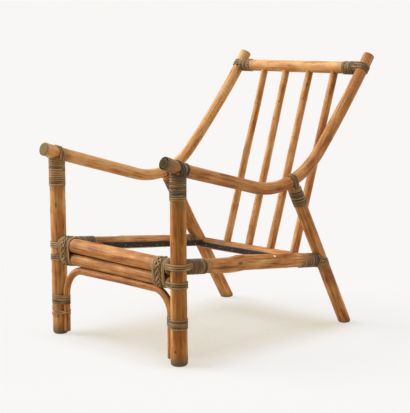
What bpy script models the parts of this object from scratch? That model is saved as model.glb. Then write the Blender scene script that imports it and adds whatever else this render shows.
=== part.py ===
# Pole-framed easy chair: bent arm poles, raking rear legs, railed seat frame and a spindle back.
# Every joint is a saddled butt end on a hidden pin, strapped and wound with split peel.
# Metres, +Z up. The sitter faces -Y, so left is +X. The origin is on the floor, under the middle.

import math

import bmesh
import bpy
from mathutils import Matrix, Vector

# Seat frame
leg_spacing = 0.520
front_leg_radius = 0.0229
side_rail_front_height = 0.2745
side_rail_rear_height = 0.2125
side_rail_front_radius = 0.0192
side_rail_rear_radius = 0.0180
front_rail_drop = 0.0014
front_rail_radius = 0.0222
lower_rail_radius = 0.0183
front_rail_gap = 0.0021
back_rail_drop = 0.0055
back_rail_radius = 0.0155

# Arm poles, along their own length from the front leg's axis
left_arm_height = 0.5396
right_arm_height = 0.5443
left_arm_fall = math.radians(14.5)
right_arm_fall = math.radians(15.5)
arm_front_radius = 0.0187
arm_back_radius = 0.0176
arm_overhang = 0.052
left_arm_run = 0.3054
right_arm_run = 0.3213
left_bend_radius = 0.2890
right_bend_radius = 0.2377
left_knee_lean = math.radians(48.3)
right_knee_lean = math.radians(45.5)
left_post_length = 0.3534
right_post_length = 0.3973
post_lean = math.radians(53.6)
back_rack = 0.004

# Rear legs
rear_leg_radius = 0.0189
left_rear_foot_depth = 0.713
right_rear_foot_depth = 0.719
left_rear_leg_rake = math.radians(29.0)
right_rear_leg_rake = math.radians(31.0)

# Back
top_rail_radius = 0.0180
top_rail_drop = 0.0478
slim_spindle_radius = 0.0112
thick_spindle_radius = 0.0124
spindle_low_spacing = 0.0955
spindle_low_shift = -0.0020
spindle_high_spacing = 0.0992
spindle_high_shift = 0.0038
spindle_count = 4
socket_depth = 0.009

# Arch brace
brace_radius = 0.0098
brace_corner_radius = 0.078
brace_left_foot = 0.026
brace_right_foot = 0.004

# Seat strips
strip_width = 0.018
strip_thickness = 0.0018
strip_end_gap = 0.006
strip_steps = 4

# Pole detail, with node places as shares of a pole's length
node_rise = 0.0007
node_half_length = 0.006
arm_nodes = (0.36, 0.72)
front_leg_nodes = (0.34, 0.69)
rear_leg_nodes = (0.24, 0.70)
side_rail_nodes = (0.385, 0.72)
front_rail_nodes = (0.35, 0.66)
brace_nodes = (0.21, 0.76)
back_rail_nodes = (0.5,)
spindle_nodes = ((0.22, 0.72), (0.29, 0.78), (0.36, 0.72), (0.22, 0.78))
end_round = 0.0020
pole_sides = 16
slim_sides = 12
bend_steps = 9
post_steps = 5
brace_corner_steps = 7
weld_distance = 0.000001
sharp_angle = math.radians(40)

# Joints
clearance = 0.0003
saddle_bite = 0.0060
pin_radius = 0.0025
pin_into_through = 0.012
pin_into_end = 0.030
pin_sides = 8

# Peel lashings: a half-round strand, flat side to the pole
peel_width = 0.0058
peel_height = 0.0022
peel_pitch = 0.0068
loop_points = 10
strap_points = 7
wrap_upper_points = 6
wrap_lower_points = 6
band_leg_points = 7
band_brace_points = 5
strap_setback = 0.0072
leg_top_loops = 11
rail_front_loops = 10
rail_rear_loops = 9
rear_top_loops = 10
top_rail_loops = 9
front_wrap_loops = 7
front_wrap_setback = 0.0140
brace_band_loops = 4
brace_band_drop = 0.0115
strap_passes = 2
least_self_gap = 0.0004

# Derived places
half_width = leg_spacing / 2
front_rail_height = side_rail_front_height - front_rail_drop
back_rail_height = side_rail_rear_height - back_rail_drop
lower_rail_height = front_rail_height - front_rail_radius - front_rail_gap - lower_rail_radius
brace_height = lower_rail_height - lower_rail_radius - node_rise - clearance - brace_radius
brace_inset = front_leg_radius + clearance + brace_radius
brace_band_height = brace_height - brace_corner_radius - brace_band_drop
sides = {"left": 1, "right": -1}
arms = {
    "left": {
        "height": left_arm_height,
        "fall": left_arm_fall,
        "run": left_arm_run,
        "bend": left_bend_radius,
        "knee": left_knee_lean,
        "post": left_post_length,
    },
    "right": {
        "height": right_arm_height,
        "fall": right_arm_fall,
        "run": right_arm_run,
        "bend": right_bend_radius,
        "knee": right_knee_lean,
        "post": right_post_length,
    },
}
rear_legs = {
    "left": (left_rear_foot_depth, left_rear_leg_rake),
    "right": (right_rear_foot_depth, right_rear_leg_rake),
}


def clear_scene():
    for item in list(bpy.data.objects):
        bpy.data.objects.remove(item)


def make_material(name, colour, roughness, metallic=0.0):
    made = bpy.data.materials.new(name)
    made.use_nodes = True
    shader = made.node_tree.nodes["Principled BSDF"]
    shader.inputs["Base Color"].default_value = (*colour, 1.0)
    shader.inputs["Roughness"].default_value = roughness
    shader.inputs["Metallic"].default_value = metallic
    return made


def frame_along(start, end):
    # A frame at start whose Z runs to end
    turn = (end - start).to_track_quat("Z", "Y")
    return Matrix.Translation(start) @ turn.to_matrix().to_4x4()


def tube_mesh(name, points, radii, side_count):
    curve = bpy.data.curves.new(name, "CURVE")
    curve.dimensions = "3D"
    curve.bevel_depth = 1.0
    curve.bevel_resolution = (side_count - 4) // 2
    curve.use_fill_caps = True
    curve.twist_mode = "MINIMUM"
    spline = curve.splines.new("POLY")
    spline.points.add(len(points) - 1)
    for control, point, radius in zip(spline.points, points, radii):
        control.co = (*point, 1.0)
        control.radius = radius
    drawn = bpy.data.objects.new(name, curve)
    bpy.context.scene.collection.objects.link(drawn)
    graph = bpy.context.evaluated_depsgraph_get()
    mesh = bpy.data.meshes.new_from_object(drawn.evaluated_get(graph))
    bpy.data.objects.remove(drawn)
    bpy.data.curves.remove(curve)
    weld(mesh)
    return mesh


def weld(mesh):
    work = bmesh.new()
    work.from_mesh(mesh)
    bmesh.ops.remove_doubles(work, verts=work.verts, dist=weld_distance)
    bmesh.ops.recalc_face_normals(work, faces=work.faces)
    work.to_mesh(mesh)
    work.free()


def shade(mesh):
    mesh.shade_smooth()
    mesh.set_sharp_from_angle(angle=sharp_angle)


def place(name, mesh, matrix, material):
    item = bpy.data.objects.new(name, mesh)
    parts.objects.link(item)
    item.parent = chair
    item.matrix_world = matrix
    item.data.materials.append(material)
    shade(mesh)
    return item


def cut(part, cutter):
    step = part.modifiers.new(cutter.name, "BOOLEAN")
    step.operation = "DIFFERENCE"
    step.solver = "EXACT"
    step.object = cutter


def add_cutter(name, mesh, matrix):
    cutter = bpy.data.objects.new(name, mesh)
    cutters.objects.link(cutter)
    cutter.matrix_world = matrix
    cutter.hide_render = True
    cutter.display_type = "WIRE"
    return cutter


def arc_length(points):
    lengths = [0.0]
    for here, there in zip(points, points[1:]):
        lengths.append(lengths[-1] + (there - here).length)
    return lengths


def point_on(points, distance):
    # The point, and the way along, at a distance from the path's first point
    lengths = arc_length(points)
    for index in range(1, len(points)):
        if distance <= lengths[index] or index == len(points) - 1:
            way = (points[index] - points[index - 1]).normalized()
            return points[index - 1] + way * (distance - lengths[index - 1]), way


def with_stations(path, stations):
    # The path's points with more points put in at the given distances
    marks = [(distance, point) for distance, point in zip(arc_length(path), path)]
    marks += [(distance, point_on(path, distance)[0]) for distance in stations]
    marks.sort(key=lambda mark: mark[0])
    kept = [marks[0]]
    for mark in marks[1:]:
        if mark[0] - kept[-1][0] > node_half_length / 10:
            kept.append(mark)
    return kept


def pole(name, path, start_radius, end_radius, nodes=(), rounded=(False, False), side_count=pole_sides):
    # A tapering pole along a path, with a low ridge at each node and eased free ends
    length = arc_length(path)[-1]
    places = [share * length for share in nodes]
    stations = [at + shift for at in places for shift in (-node_half_length, 0.0, node_half_length)]
    stations += [end_round] if rounded[0] else []
    stations += [length - end_round] if rounded[1] else []
    marks = with_stations(path, stations)
    points = [point for distance, point in marks]
    radii = []
    for distance, point in marks:
        radius = start_radius + (end_radius - start_radius) * distance / length
        at_node = any(abs(distance - at) < node_half_length / 2 for at in places)
        radii.append(radius + node_rise if at_node else radius)
    radii[0] -= end_round if rounded[0] else 0.0
    radii[-1] -= end_round if rounded[1] else 0.0
    frame = frame_along(points[0], points[1])
    back = frame.inverted()
    mesh = tube_mesh(name, [back @ point for point in points], radii, side_count)
    made = place(name, mesh, frame, cane)
    poles[name] = {"object": made, "points": points, "radii": radii, "sides": side_count}
    return made


def saddle(end_name, through_name):
    # Cuts the end of one pole to sit round the pole that runs through
    through = poles[through_name]
    grown = [radius + clearance for radius in through["radii"]]
    points = list(through["points"])
    points[0] = points[0] + (points[0] - points[1]).normalized() * clearance
    points[-1] = points[-1] + (points[-1] - points[-2]).normalized() * clearance
    mesh = tube_mesh("saddle", points, grown, through["sides"])
    cutter = add_cutter(f"saddle_{end_name}_{through_name}", mesh, Matrix())
    cut(poles[end_name]["object"], cutter)


def round_bar(radius, length, side_count):
    mesh = bpy.data.meshes.new("bar")
    work = bmesh.new()
    bmesh.ops.create_cone(
        work,
        cap_ends=True,
        segments=side_count,
        radius1=radius,
        radius2=radius,
        depth=length,
        matrix=Matrix.Translation((0.0, 0.0, length / 2)),
    )
    work.to_mesh(mesh)
    work.free()
    return mesh


def pin(name, end_name, through_name, through_point, into_end, through_radius):
    # A pin on the end pole's axis, in a bore that is open at the joint in both poles
    start = through_point + into_end * (through_radius - pin_into_through)
    stop = through_point + into_end * (through_radius + pin_into_end)
    length = (stop - start).length
    place(name, round_bar(pin_radius, length, pin_sides), frame_along(start, stop), steel)
    low = start - into_end * clearance
    bore = round_bar(pin_radius + clearance, length + 2 * clearance, pin_sides)
    cutter = add_cutter(f"bore_{name}", bore, frame_along(low, stop))
    cut(poles[end_name]["object"], cutter)
    cut(poles[through_name]["object"], cutter)


def socket(rail_name, spindle_name, radius, start, stop):
    bore = round_bar(radius + clearance, (stop - start).length, slim_sides)
    cutter = add_cutter(f"socket_{rail_name}_{spindle_name}", bore, frame_along(start, stop))
    cut(poles[rail_name]["object"], cutter)


def strand(name, stations, matrix):
    # Lofts the half-round peel along (point, outward) stations in the given frame
    sections = []
    for index, (point, outward) in enumerate(stations):
        before = stations[max(index - 1, 0)][0]
        after = stations[min(index + 1, len(stations) - 1)][0]
        along = (after - before).normalized()
        across = along.cross(outward).normalized() * (peel_width / 2)
        ridge = point + across.cross(along).normalized() * peel_height
        sections.append((point - across, point + across, ridge))
    mesh = bpy.data.meshes.new(name)
    work = bmesh.new()
    rings = [[work.verts.new(corner) for corner in section] for section in sections]
    for ring, following in zip(rings, rings[1:]):
        for first, second in ((0, 1), (1, 2), (2, 0)):
            work.faces.new((ring[first], ring[second], following[second], following[first]))
    work.faces.new(rings[0])
    work.faces.new(rings[-1])
    bmesh.ops.recalc_face_normals(work, faces=work.faces)
    work.to_mesh(mesh)
    work.free()
    place(name, mesh, matrix, peel)
    report_self_gap(name, sections)


def report_self_gap(name, sections):
    # Least distance between corners of stretches that are more than half a loop apart
    far = max(strap_points, loop_points) // 2 + 1
    least = min(
        (one - other).length
        for index, section in enumerate(sections)
        for later in sections[index + far:]
        for one in section
        for other in later
    )
    print(f"{name}: least gap to itself {least * 1000:.2f} mm")
    if least < least_self_gap:
        raise ValueError(f"{name} lies too close to itself")


def ring_outline(radius, count):
    # Stations round one pole, far enough out for the flats to clear it
    out = (radius + clearance) / math.cos(math.pi / count)
    outline = []
    for index in range(count):
        angle = 2 * math.pi * index / count
        outward = Vector((math.cos(angle), math.sin(angle), 0.0))
        outline.append((outward * out, outward))
    return outline


def pair_outline(first_radius, second_radius, distance, first_count, second_count):
    # Stations round two poles side by side, the second at +X from the first
    lean = math.asin((first_radius - second_radius) / distance)
    outline = []
    turns = (
        (first_radius, 0.0, math.pi / 2 - lean, 3 * math.pi / 2 + lean, first_count),
        (second_radius, distance, 3 * math.pi / 2 + lean, 5 * math.pi / 2 - lean, second_count),
    )
    for radius, shift, start, stop, count in turns:
        step = (stop - start) / (count - 1)
        out = (radius + clearance) / math.cos(step / 2)
        for index in range(count):
            angle = start + step * index
            outward = Vector((math.cos(angle), math.sin(angle), 0.0))
            outline.append((outward * out + Vector((shift, 0.0, 0.0)), outward))
    return outline


def sleeve(name, matrix, outline, loops):
    # Winds one strand round an outline, climbing a pitch each loop along the frame's Z
    count = len(outline)
    stations = []
    for index in range(loops * count + 1):
        point, outward = outline[index % count]
        climb = peel_width / 2 + peel_pitch * index / count
        stations.append((point + Vector((0.0, 0.0, climb)), outward))
    strand(name, stations, matrix)


def clear_start(through_radius, through_way, end_way, outline):
    # How far from the through pole's axis a sleeve on a slanting end can start
    slant = through_way.cross(end_way).length
    out = outline[0][0].length + peel_height
    return (through_radius + out * abs(through_way.dot(end_way))) / slant + clearance


def sleeve_length(loops):
    return loops * peel_pitch + peel_width


def strap(name, matrix, reach, sweep, tails, shift=0.0):
    # Lays a strand to and fro round a pole that runs along the frame's Z.
    # The sweep is centred on -X at the radius reach, and each tail is (length, spread).
    stations = []
    for index in range(strap_passes):
        level = shift + (index - (strap_passes - 1) / 2) * peel_pitch
        row = []
        step = sweep / (strap_points - 1)
        for number in range(strap_points):
            angle = math.pi - sweep / 2 + step * number
            outward = Vector((math.cos(angle), math.sin(angle), 0.0))
            row.append((outward * reach + Vector((0.0, 0.0, level)), outward))
        first_way = Vector((math.sin(math.pi - sweep / 2), -math.cos(math.pi - sweep / 2), 0.0))
        last_way = Vector((-math.sin(math.pi + sweep / 2), math.cos(math.pi + sweep / 2), 0.0))
        first_length, first_spread = tails[0]
        last_length, last_spread = tails[1]
        first_point, first_out = row[0]
        last_point, last_out = row[-1]
        row.insert(0, (first_point + first_way * first_length + first_out * first_spread, first_out))
        row.append((last_point + last_way * last_length + last_out * last_spread, last_out))
        if index % 2:
            row.reverse()
        stations += row
    strand(name, stations, matrix)


def strap_reach(radius, sweep):
    return (radius + clearance) / math.cos(sweep / (strap_points - 1) / 2)


def side_frame(origin, z_way, x_way):
    # A frame with Z along a pole and X as near x_way as it can be
    up = z_way.normalized()
    side = (x_way - up * x_way.dot(up)).normalized()
    matrix = Matrix((side, up.cross(side), up)).transposed().to_4x4()
    return Matrix.Translation(origin) @ matrix


def arm_profile(side):
    # The arm pole's axis as depth and height from the front leg: straight arm, bend and bowed post
    arm = arms[side]
    way = -arm["fall"]
    points = []
    for distance in (-arm_overhang, 0.0, arm["run"]):
        points.append(Vector((distance * math.cos(way), arm["height"] + distance * math.sin(way))))
    runs = (
        (arm["bend"] * (arm["knee"] + arm["fall"]), arm["knee"], bend_steps),
        (arm["post"], post_lean, post_steps),
    )
    for length, goal, steps in runs:
        turn = (goal - way) / steps
        for _ in range(steps):
            middle = way + turn / 2
            points.append(points[-1] + Vector((math.cos(middle), math.sin(middle))) * (length / steps))
            way += turn
    return points


def middle_shift():
    # From the front leg's axis to the middle of the whole depth
    eased = arm_front_radius - end_round
    proud = arm_back_radius * math.sin(post_lean) - end_round * math.cos(post_lean)
    front = min(arm_profile(side)[0].x - eased * math.sin(arms[side]["fall"]) for side in sides)
    back = max(arm_profile(side)[-1].x + proud for side in sides)
    return -(front + back) / 2


def arm_path(side):
    # The arm pole's axis, its post racked sideways towards the top
    profile = arm_profile(side)
    post_start = len(profile) - 1 - post_steps
    path = []
    for index, point in enumerate(profile):
        rack = back_rack * max(0, index - post_start) / post_steps
        path.append(Vector((sides[side] * half_width + rack, point.x + depth_shift, point.y)))
    return path


def rear_leg_line(side, height):
    # Depth of a rear leg's axis at a height
    foot_depth, rake = rear_legs[side]
    return foot_depth - height * math.tan(rake) + depth_shift


def rear_leg_meets(side, path):
    # Where the rear leg's axis crosses the arm pole's axis
    for here, there in zip(path, path[1:]):
        before = here.y - rear_leg_line(side, here.z)
        after = there.y - rear_leg_line(side, there.z)
        if before <= 0.0 < after:
            share = before / (before - after)
            return here.lerp(there, share), (there - here).normalized()


def arm_radius_at(path, point):
    share = min(1.0, (point - path[0]).length / arc_length(path)[-1])
    return arm_front_radius + (arm_back_radius - arm_front_radius) * share


def floor_block():
    # A block whose top is the floor, to cut the raking feet level
    size = 4 * leg_spacing
    mesh = bpy.data.meshes.new("floor")
    work = bmesh.new()
    bmesh.ops.create_cube(work, size=size, matrix=Matrix.Translation((0.0, 0.0, -size / 2)))
    work.to_mesh(mesh)
    work.free()
    return add_cutter("floor", mesh, Matrix())


def build_side(side, sign):
    # Legs, arm pole and side rail of one side, with their joints and lashings
    inward = Vector((-sign, 0.0, 0.0))
    up = Vector((0.0, 0.0, 1.0))
    x = sign * half_width
    front_y = depth_shift
    path = arm_path(side)
    arm = f"arm_pole_{side}"
    pole(arm, path, arm_front_radius, arm_back_radius, arm_nodes, (True, True))

    # Front leg, saddled under the arm
    leg = f"front_leg_{side}"
    arm_at_leg = Vector((x, front_y, arms[side]["height"]))
    arm_here = arm_radius_at(path, arm_at_leg)
    leg_top = arm_at_leg - up * (arm_here - saddle_bite)
    foot = Vector((x, front_y, 0.0))
    pole(leg, [foot, leg_top], front_leg_radius, front_leg_radius, front_leg_nodes, (True, False))
    saddle(leg, arm)
    pin(f"leg_pin_{side}", leg, arm, arm_at_leg, -up, arm_here)

    # Rear leg, saddled under the bend and cut level at the floor
    rear = f"rear_leg_{side}"
    bend_at_leg, bend_way = rear_leg_meets(side, path)
    bend_here = arm_radius_at(path, bend_at_leg)
    rear_foot = Vector((x, rear_leg_line(side, 0.0), 0.0))
    down = (rear_foot - bend_at_leg).normalized()
    rear_top = bend_at_leg + down * (bend_here - saddle_bite)
    below = rear_foot + down * rear_leg_radius
    pole(rear, [below, rear_top], rear_leg_radius, rear_leg_radius, rear_leg_nodes)
    cut(poles[rear]["object"], floor_cutter)
    saddle(rear, arm)
    pin(f"rear_leg_pin_{side}", rear, arm, bend_at_leg, down, bend_here)

    # Side rail, saddled to both legs
    rail = f"side_rail_{side}"
    rail_front = Vector((x, front_y, side_rail_front_height))
    rail_rear = Vector((x, rear_leg_line(side, side_rail_rear_height), side_rail_rear_height))
    run = (rail_rear - rail_front).normalized()
    slant = abs(run.cross(down).length)
    rear_reach = rear_leg_radius / slant
    rail_start = rail_front + run * (front_leg_radius - saddle_bite)
    rake_reach = side_rail_rear_radius * abs(run.dot(down)) / slant
    rail_stop = rail_rear - run * (rear_reach - saddle_bite - rake_reach)
    pole(rail, [rail_start, rail_stop], side_rail_front_radius, side_rail_rear_radius, side_rail_nodes)
    saddle(rail, leg)
    saddle(rail, rear)
    pin(f"rail_front_pin_{side}", rail, leg, rail_front, run, front_leg_radius)
    pin(f"rail_rear_pin_{side}", rail, rear, rail_rear, -run, rear_reach)

    # Lashings, with the rail's bare stretch between them kept for its strip
    arm_way = (path[2] - path[1]).normalized()
    lash_arm(side, inward, arm_at_leg, arm_here, arm_way)
    lash_bend(side, inward, bend_at_leg, bend_here, bend_way, down)
    front_stop = lash_front_corner(side, sign, rail_front, run)
    rear_stop = lash_rear_corner(side, sign, rail_rear, run, down)
    poles[rail]["bare"] = ((front_stop - rail_start).length, (rear_stop - rail_start).length)


def lash_arm(side, inward, arm_at_leg, arm_here, arm_way):
    # The sleeve on the front leg's top and the strap over the arm
    up = Vector((0.0, 0.0, 1.0))
    outline = ring_outline(front_leg_radius, loop_points)
    sleeve_drop = clear_start(arm_here, arm_way, up, outline)
    top_frame = side_frame(arm_at_leg - up * sleeve_drop, -up, inward)
    sleeve(f"leg_top_sleeve_{side}", top_frame, outline, leg_top_loops)

    reach = strap_reach(arm_here, math.pi)
    arm_fall = arms[side]["fall"]
    shift = front_leg_radius / 2
    lowest = shift + (strap_passes * peel_pitch + peel_width) / 2
    tail = (sleeve_drop - clearance - lowest * math.sin(arm_fall)) / math.cos(arm_fall)
    spread = front_leg_radius + peel_height - reach
    over_arm = side_frame(arm_at_leg, arm_way, -up)
    strap(f"arm_strap_{side}", over_arm, reach, math.pi, [(tail, spread)] * 2, shift)


def lash_bend(side, inward, bend_at_leg, bend_here, bend_way, down):
    # The sleeve on the rear leg's top and the strap over the bend
    outline = ring_outline(rear_leg_radius, loop_points)
    sleeve_drop = clear_start(bend_here, bend_way, down, outline)
    top_frame = side_frame(bend_at_leg + down * sleeve_drop, down, inward)
    sleeve(f"rear_top_sleeve_{side}", top_frame, outline, rear_top_loops)

    reach = strap_reach(bend_here, math.pi)
    tail = sleeve_drop - strap_passes * peel_pitch / 2 * abs(bend_way.dot(down)) - clearance
    over_bend = side_frame(bend_at_leg, bend_way, down)
    spread = max(0.0, rear_leg_radius + clearance - reach)
    strap(f"bend_strap_{side}", over_bend, reach, math.pi, [(tail, spread)] * 2)


def lash_front_corner(side, sign, rail_front, run):
    # The side rail's front sleeve and the straps round the front leg. Returns where the sleeve stops.
    up = Vector((0.0, 0.0, 1.0))
    inward = Vector((-sign, 0.0, 0.0))
    sleeve_from = rail_front + run * (front_leg_radius + strap_setback)
    outline = ring_outline(side_rail_front_radius, loop_points)
    sleeve(f"rail_front_sleeve_{side}", side_frame(sleeve_from, run, inward), outline, rail_front_loops)

    to_wrap = front_leg_radius + front_wrap_setback - clearance
    to_sleeve = front_leg_radius + strap_setback - clearance
    widest = max(side_rail_front_radius, front_rail_radius) + clearance
    reach = strap_reach(max(front_leg_radius, widest), math.pi / 2)
    tails = [
        (to_wrap, front_rail_radius + 2 * clearance - reach),
        (to_sleeve, side_rail_front_radius + 2 * clearance - reach),
    ]
    corner = side_frame(rail_front, up * sign, inward + Vector((0.0, 1.0, 0.0)))
    strap(f"front_corner_strap_{side}", corner, reach, math.pi / 2, tails)

    lower_reach = strap_reach(front_leg_radius, math.pi)
    lower_spread = lower_rail_radius + 2 * clearance - lower_reach
    lower_at = Vector((rail_front.x, rail_front.y, lower_rail_height))
    lower = side_frame(lower_at, up, inward)
    strap(f"front_lower_strap_{side}", lower, lower_reach, math.pi, [(to_wrap, lower_spread)] * 2)
    return sleeve_from + run * sleeve_length(rail_front_loops)


def lash_rear_corner(side, sign, rail_rear, run, down):
    # The side rail's rear sleeve and the strap round the rear leg. Returns where the sleeve stops.
    inward = Vector((-sign, 0.0, 0.0))
    outline = ring_outline(side_rail_rear_radius + node_rise, loop_points)
    sleeve_from = rail_rear - run * clear_start(rear_leg_radius, down, run, outline)
    sleeve(f"rail_rear_sleeve_{side}", side_frame(sleeve_from, -run, inward), outline, rail_rear_loops)

    widest = max(side_rail_rear_radius, back_rail_radius) + clearance
    reach = strap_reach(max(rear_leg_radius, widest), math.pi / 2)
    length = rear_leg_radius + strap_setback - clearance
    tails = [
        (length, back_rail_radius + 2 * clearance - reach),
        (length, side_rail_rear_radius + 2 * clearance - reach),
    ]
    forward = (down * run.dot(down) - run).normalized()
    corner = side_frame(rail_rear, down * sign, inward + forward)
    strap(f"rear_corner_strap_{side}", corner, reach, math.pi / 2, tails)
    return sleeve_from - run * sleeve_length(rail_rear_loops)


def build_front():
    # The two front rails and the arch brace, between the front legs
    up = Vector((0.0, 0.0, 1.0))
    span = half_width - front_leg_radius + saddle_bite
    levels = {
        "front_rail_upper": (front_rail_height, front_rail_radius),
        "front_rail_lower": (lower_rail_height, lower_rail_radius),
    }
    for name, (height, radius) in levels.items():
        left_end = Vector((span, depth_shift, height))
        right_end = Vector((-span, depth_shift, height))
        pole(name, [left_end, right_end], radius, radius, front_rail_nodes)
        for side in sides:
            saddle(name, f"front_leg_{side}")
    for side in sides:
        saddle("front_rail_upper", f"side_rail_{side}")

    low = brace_height - brace_corner_radius
    inner = half_width - brace_inset
    path = [Vector((inner, depth_shift, brace_left_foot))]
    for sign in (1, -1):
        for index in range(brace_corner_steps + 1):
            angle = math.pi / 2 * index / brace_corner_steps
            angle = angle if sign > 0 else math.pi / 2 - angle
            turn = Vector((sign * math.cos(angle), 0.0, math.sin(angle))) * brace_corner_radius
            path.append(Vector((sign * (inner - brace_corner_radius), depth_shift, low)) + turn)
    path.append(Vector((-inner, depth_shift, brace_right_foot)))
    pole("front_arch_brace", path, brace_radius, brace_radius, brace_nodes, (True, True), slim_sides)

    for side, sign in sides.items():
        inward = Vector((-sign, 0.0, 0.0))
        leg = f"front_leg_{side}"
        leg_at_rail = Vector((sign * half_width, depth_shift, front_rail_height))
        pin(f"front_rail_pin_{side}", "front_rail_upper", leg, leg_at_rail, inward, front_leg_radius)
        wrap_start = leg_at_rail + inward * (front_leg_radius + front_wrap_setback)
        rail_drop = front_rail_height - lower_rail_height
        wrap_counts = (wrap_upper_points, wrap_lower_points)
        wrap = pair_outline(front_rail_radius, lower_rail_radius, rail_drop, *wrap_counts)
        sleeve(f"front_rail_wrap_{side}", side_frame(wrap_start, inward, -up), wrap, front_wrap_loops)
        band_start = brace_band_height - sleeve_length(brace_band_loops) / 2
        band_low = Vector((sign * half_width, depth_shift, band_start))
        band_counts = (band_leg_points, band_brace_points)
        over_nodes = (front_leg_radius + node_rise, brace_radius + node_rise)
        band = pair_outline(*over_nodes, brace_inset, *band_counts)
        sleeve(f"brace_band_{side}", side_frame(band_low, up, inward), band, brace_band_loops)


def build_back():
    # Back rail, top rail and the spindles between them
    top_at = {}
    top_way = {}
    back_at = {}
    for side, sign in sides.items():
        path = arm_path(side)
        top_at[side], top_way[side] = point_on(path, arc_length(path)[-1] - top_rail_drop)
        depth = rear_leg_line(side, back_rail_height)
        back_at[side] = Vector((sign * half_width, depth, back_rail_height))
    post_here = arm_back_radius
    rails = {
        "top_rail": (top_at, top_rail_radius, "arm_pole", post_here),
        "back_rail": (back_at, back_rail_radius, "rear_leg", rear_leg_radius),
    }
    for name, (at, radius, through, through_radius) in rails.items():
        inward = inward_ways(at)
        ends = [at[side] + inward[side] * (through_radius - saddle_bite) for side in sides]
        pole(name, ends, radius, radius, back_rail_nodes)
        for side in sides:
            post = f"{through}_{side}"
            saddle(name, post)
            pin(f"{name}_pin_{side}", name, post, at[side], inward[side], through_radius)
    for side in sides:
        saddle("back_rail", f"side_rail_{side}")

    post_reach = strap_reach(post_here, math.pi)
    to_sleeve = post_here + strap_setback - clearance
    tails = [(to_sleeve, top_rail_radius + 2 * clearance - post_reach)] * 2
    outline = ring_outline(top_rail_radius, loop_points)
    for side, inward in inward_ways(top_at).items():
        over_post = side_frame(top_at[side], top_way[side], inward)
        strap(f"post_strap_{side}", over_post, post_reach, math.pi, tails)
        start = top_at[side] + inward * (post_here + strap_setback)
        sleeve(f"top_rail_sleeve_{side}", side_frame(start, inward, top_way[side]), outline, top_rail_loops)

    for index in range(spindle_count):
        build_spindle(index, back_at, top_at)


def inward_ways(at):
    # The way along a rail from each end, given its two ends
    across = (at["right"] - at["left"]).normalized()
    return {"left": across, "right": -across}


def build_spindle(index, back_at, top_at):
    # One spindle in its two sockets, the first on the right
    place_number = index - (spindle_count - 1) / 2
    low_share = 0.5 - (spindle_low_shift + place_number * spindle_low_spacing) / leg_spacing
    high_share = 0.5 - (spindle_high_shift + place_number * spindle_high_spacing) / leg_spacing
    low = back_at["left"].lerp(back_at["right"], low_share)
    high = top_at["left"].lerp(top_at["right"], high_share)
    rise = (high - low).normalized()
    foot = low + rise * (back_rail_radius - socket_depth)
    head = high - rise * (top_rail_radius - socket_depth)
    name = f"back_spindle_{index + 1}"
    nodes = spindle_nodes[index % len(spindle_nodes)]
    thickening = (thick_spindle_radius - slim_spindle_radius) / (spindle_count - 1)
    radius = slim_spindle_radius + thickening * index
    pole(name, [foot, head], radius, radius, nodes, (False, False), slim_sides)
    socket("back_rail", name, radius, foot - rise * clearance, low + rise * 2 * back_rail_radius)
    socket("top_rail", name, radius, head + rise * clearance, high - rise * 2 * top_rail_radius)


def seat_strip(name, rail_name, inner, start, stop):
    # A curved band on a rail's inner face, following its taper and nodes
    rail = poles[rail_name]
    path = rail["points"]
    lengths = arc_length(path)
    run = (path[-1] - path[0]).normalized()
    inner = (inner - run * inner.dot(run)).normalized()
    over = run.cross(inner)
    inside = [distance for distance in lengths if start < distance < stop]
    mesh = bpy.data.meshes.new(name)
    work = bmesh.new()
    rows = []
    for distance in [start, *inside, stop]:
        radius = radius_at(rail, distance)
        half_angle = strip_width / 2 / (radius + strip_thickness)
        step = 2 * half_angle / strip_steps
        out = (radius + clearance) / math.cos(step / 2)
        row = []
        for index in range(strip_steps + 1):
            angle = step * index - half_angle
            lift = inner * math.cos(angle) + over * math.sin(angle)
            row.append(work.verts.new(path[0] + run * distance + lift * out))
        rows.append(row)
    for row, following in zip(rows, rows[1:]):
        for index in range(strip_steps):
            work.faces.new((row[index], row[index + 1], following[index + 1], following[index]))
    work.to_mesh(mesh)
    work.free()
    made = place(name, mesh, Matrix(), webbing)
    skin = made.modifiers.new("thickness", "SOLIDIFY")
    skin.thickness = strip_thickness
    skin.offset = 1.0


def radius_at(rail, distance):
    lengths = arc_length(rail["points"])
    for index in range(1, len(lengths)):
        if distance <= lengths[index] or index == len(lengths) - 1:
            share = (distance - lengths[index - 1]) / (lengths[index] - lengths[index - 1])
            return rail["radii"][index - 1] + (rail["radii"][index] - rail["radii"][index - 1]) * share


def build_strips():
    # Dark strips along the seat side of the rails, between the lashings
    for side, sign in sides.items():
        rail = f"side_rail_{side}"
        start, stop = poles[rail]["bare"]
        inward = Vector((-sign, 0.0, 0.0))
        seat_strip(f"seat_strip_{side}", rail, inward, start + strip_end_gap, stop - strip_end_gap)
    length = arc_length(poles["back_rail"]["points"])[-1]
    start = saddle_bite + strap_setback + strip_end_gap
    seat_strip("seat_strip_back", "back_rail", Vector((0.0, -1.0, 0.0)), start, length - start)


clear_scene()
parts = bpy.data.collections.new("bamboo_armchair")
cutters = bpy.data.collections.new("cutters")
bpy.context.scene.collection.children.link(parts)
bpy.context.scene.collection.children.link(cutters)
cane = make_material("cane", (0.50, 0.24, 0.085), 0.45)
peel = make_material("peel", (0.16, 0.12, 0.066), 0.6)
webbing = make_material("webbing", (0.012, 0.011, 0.010), 0.7)
steel = make_material("steel", (0.35, 0.35, 0.36), 0.35, 1.0)
chair = bpy.data.objects.new("chair", None)
parts.objects.link(chair)
poles = {}
depth_shift = middle_shift()
floor_cutter = floor_block()
for side_name, side_sign in sides.items():
    build_side(side_name, side_sign)
build_front()
build_back()
build_strips()
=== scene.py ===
import math
import random

import bpy
from mathutils import Matrix, Vector, noise


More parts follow.
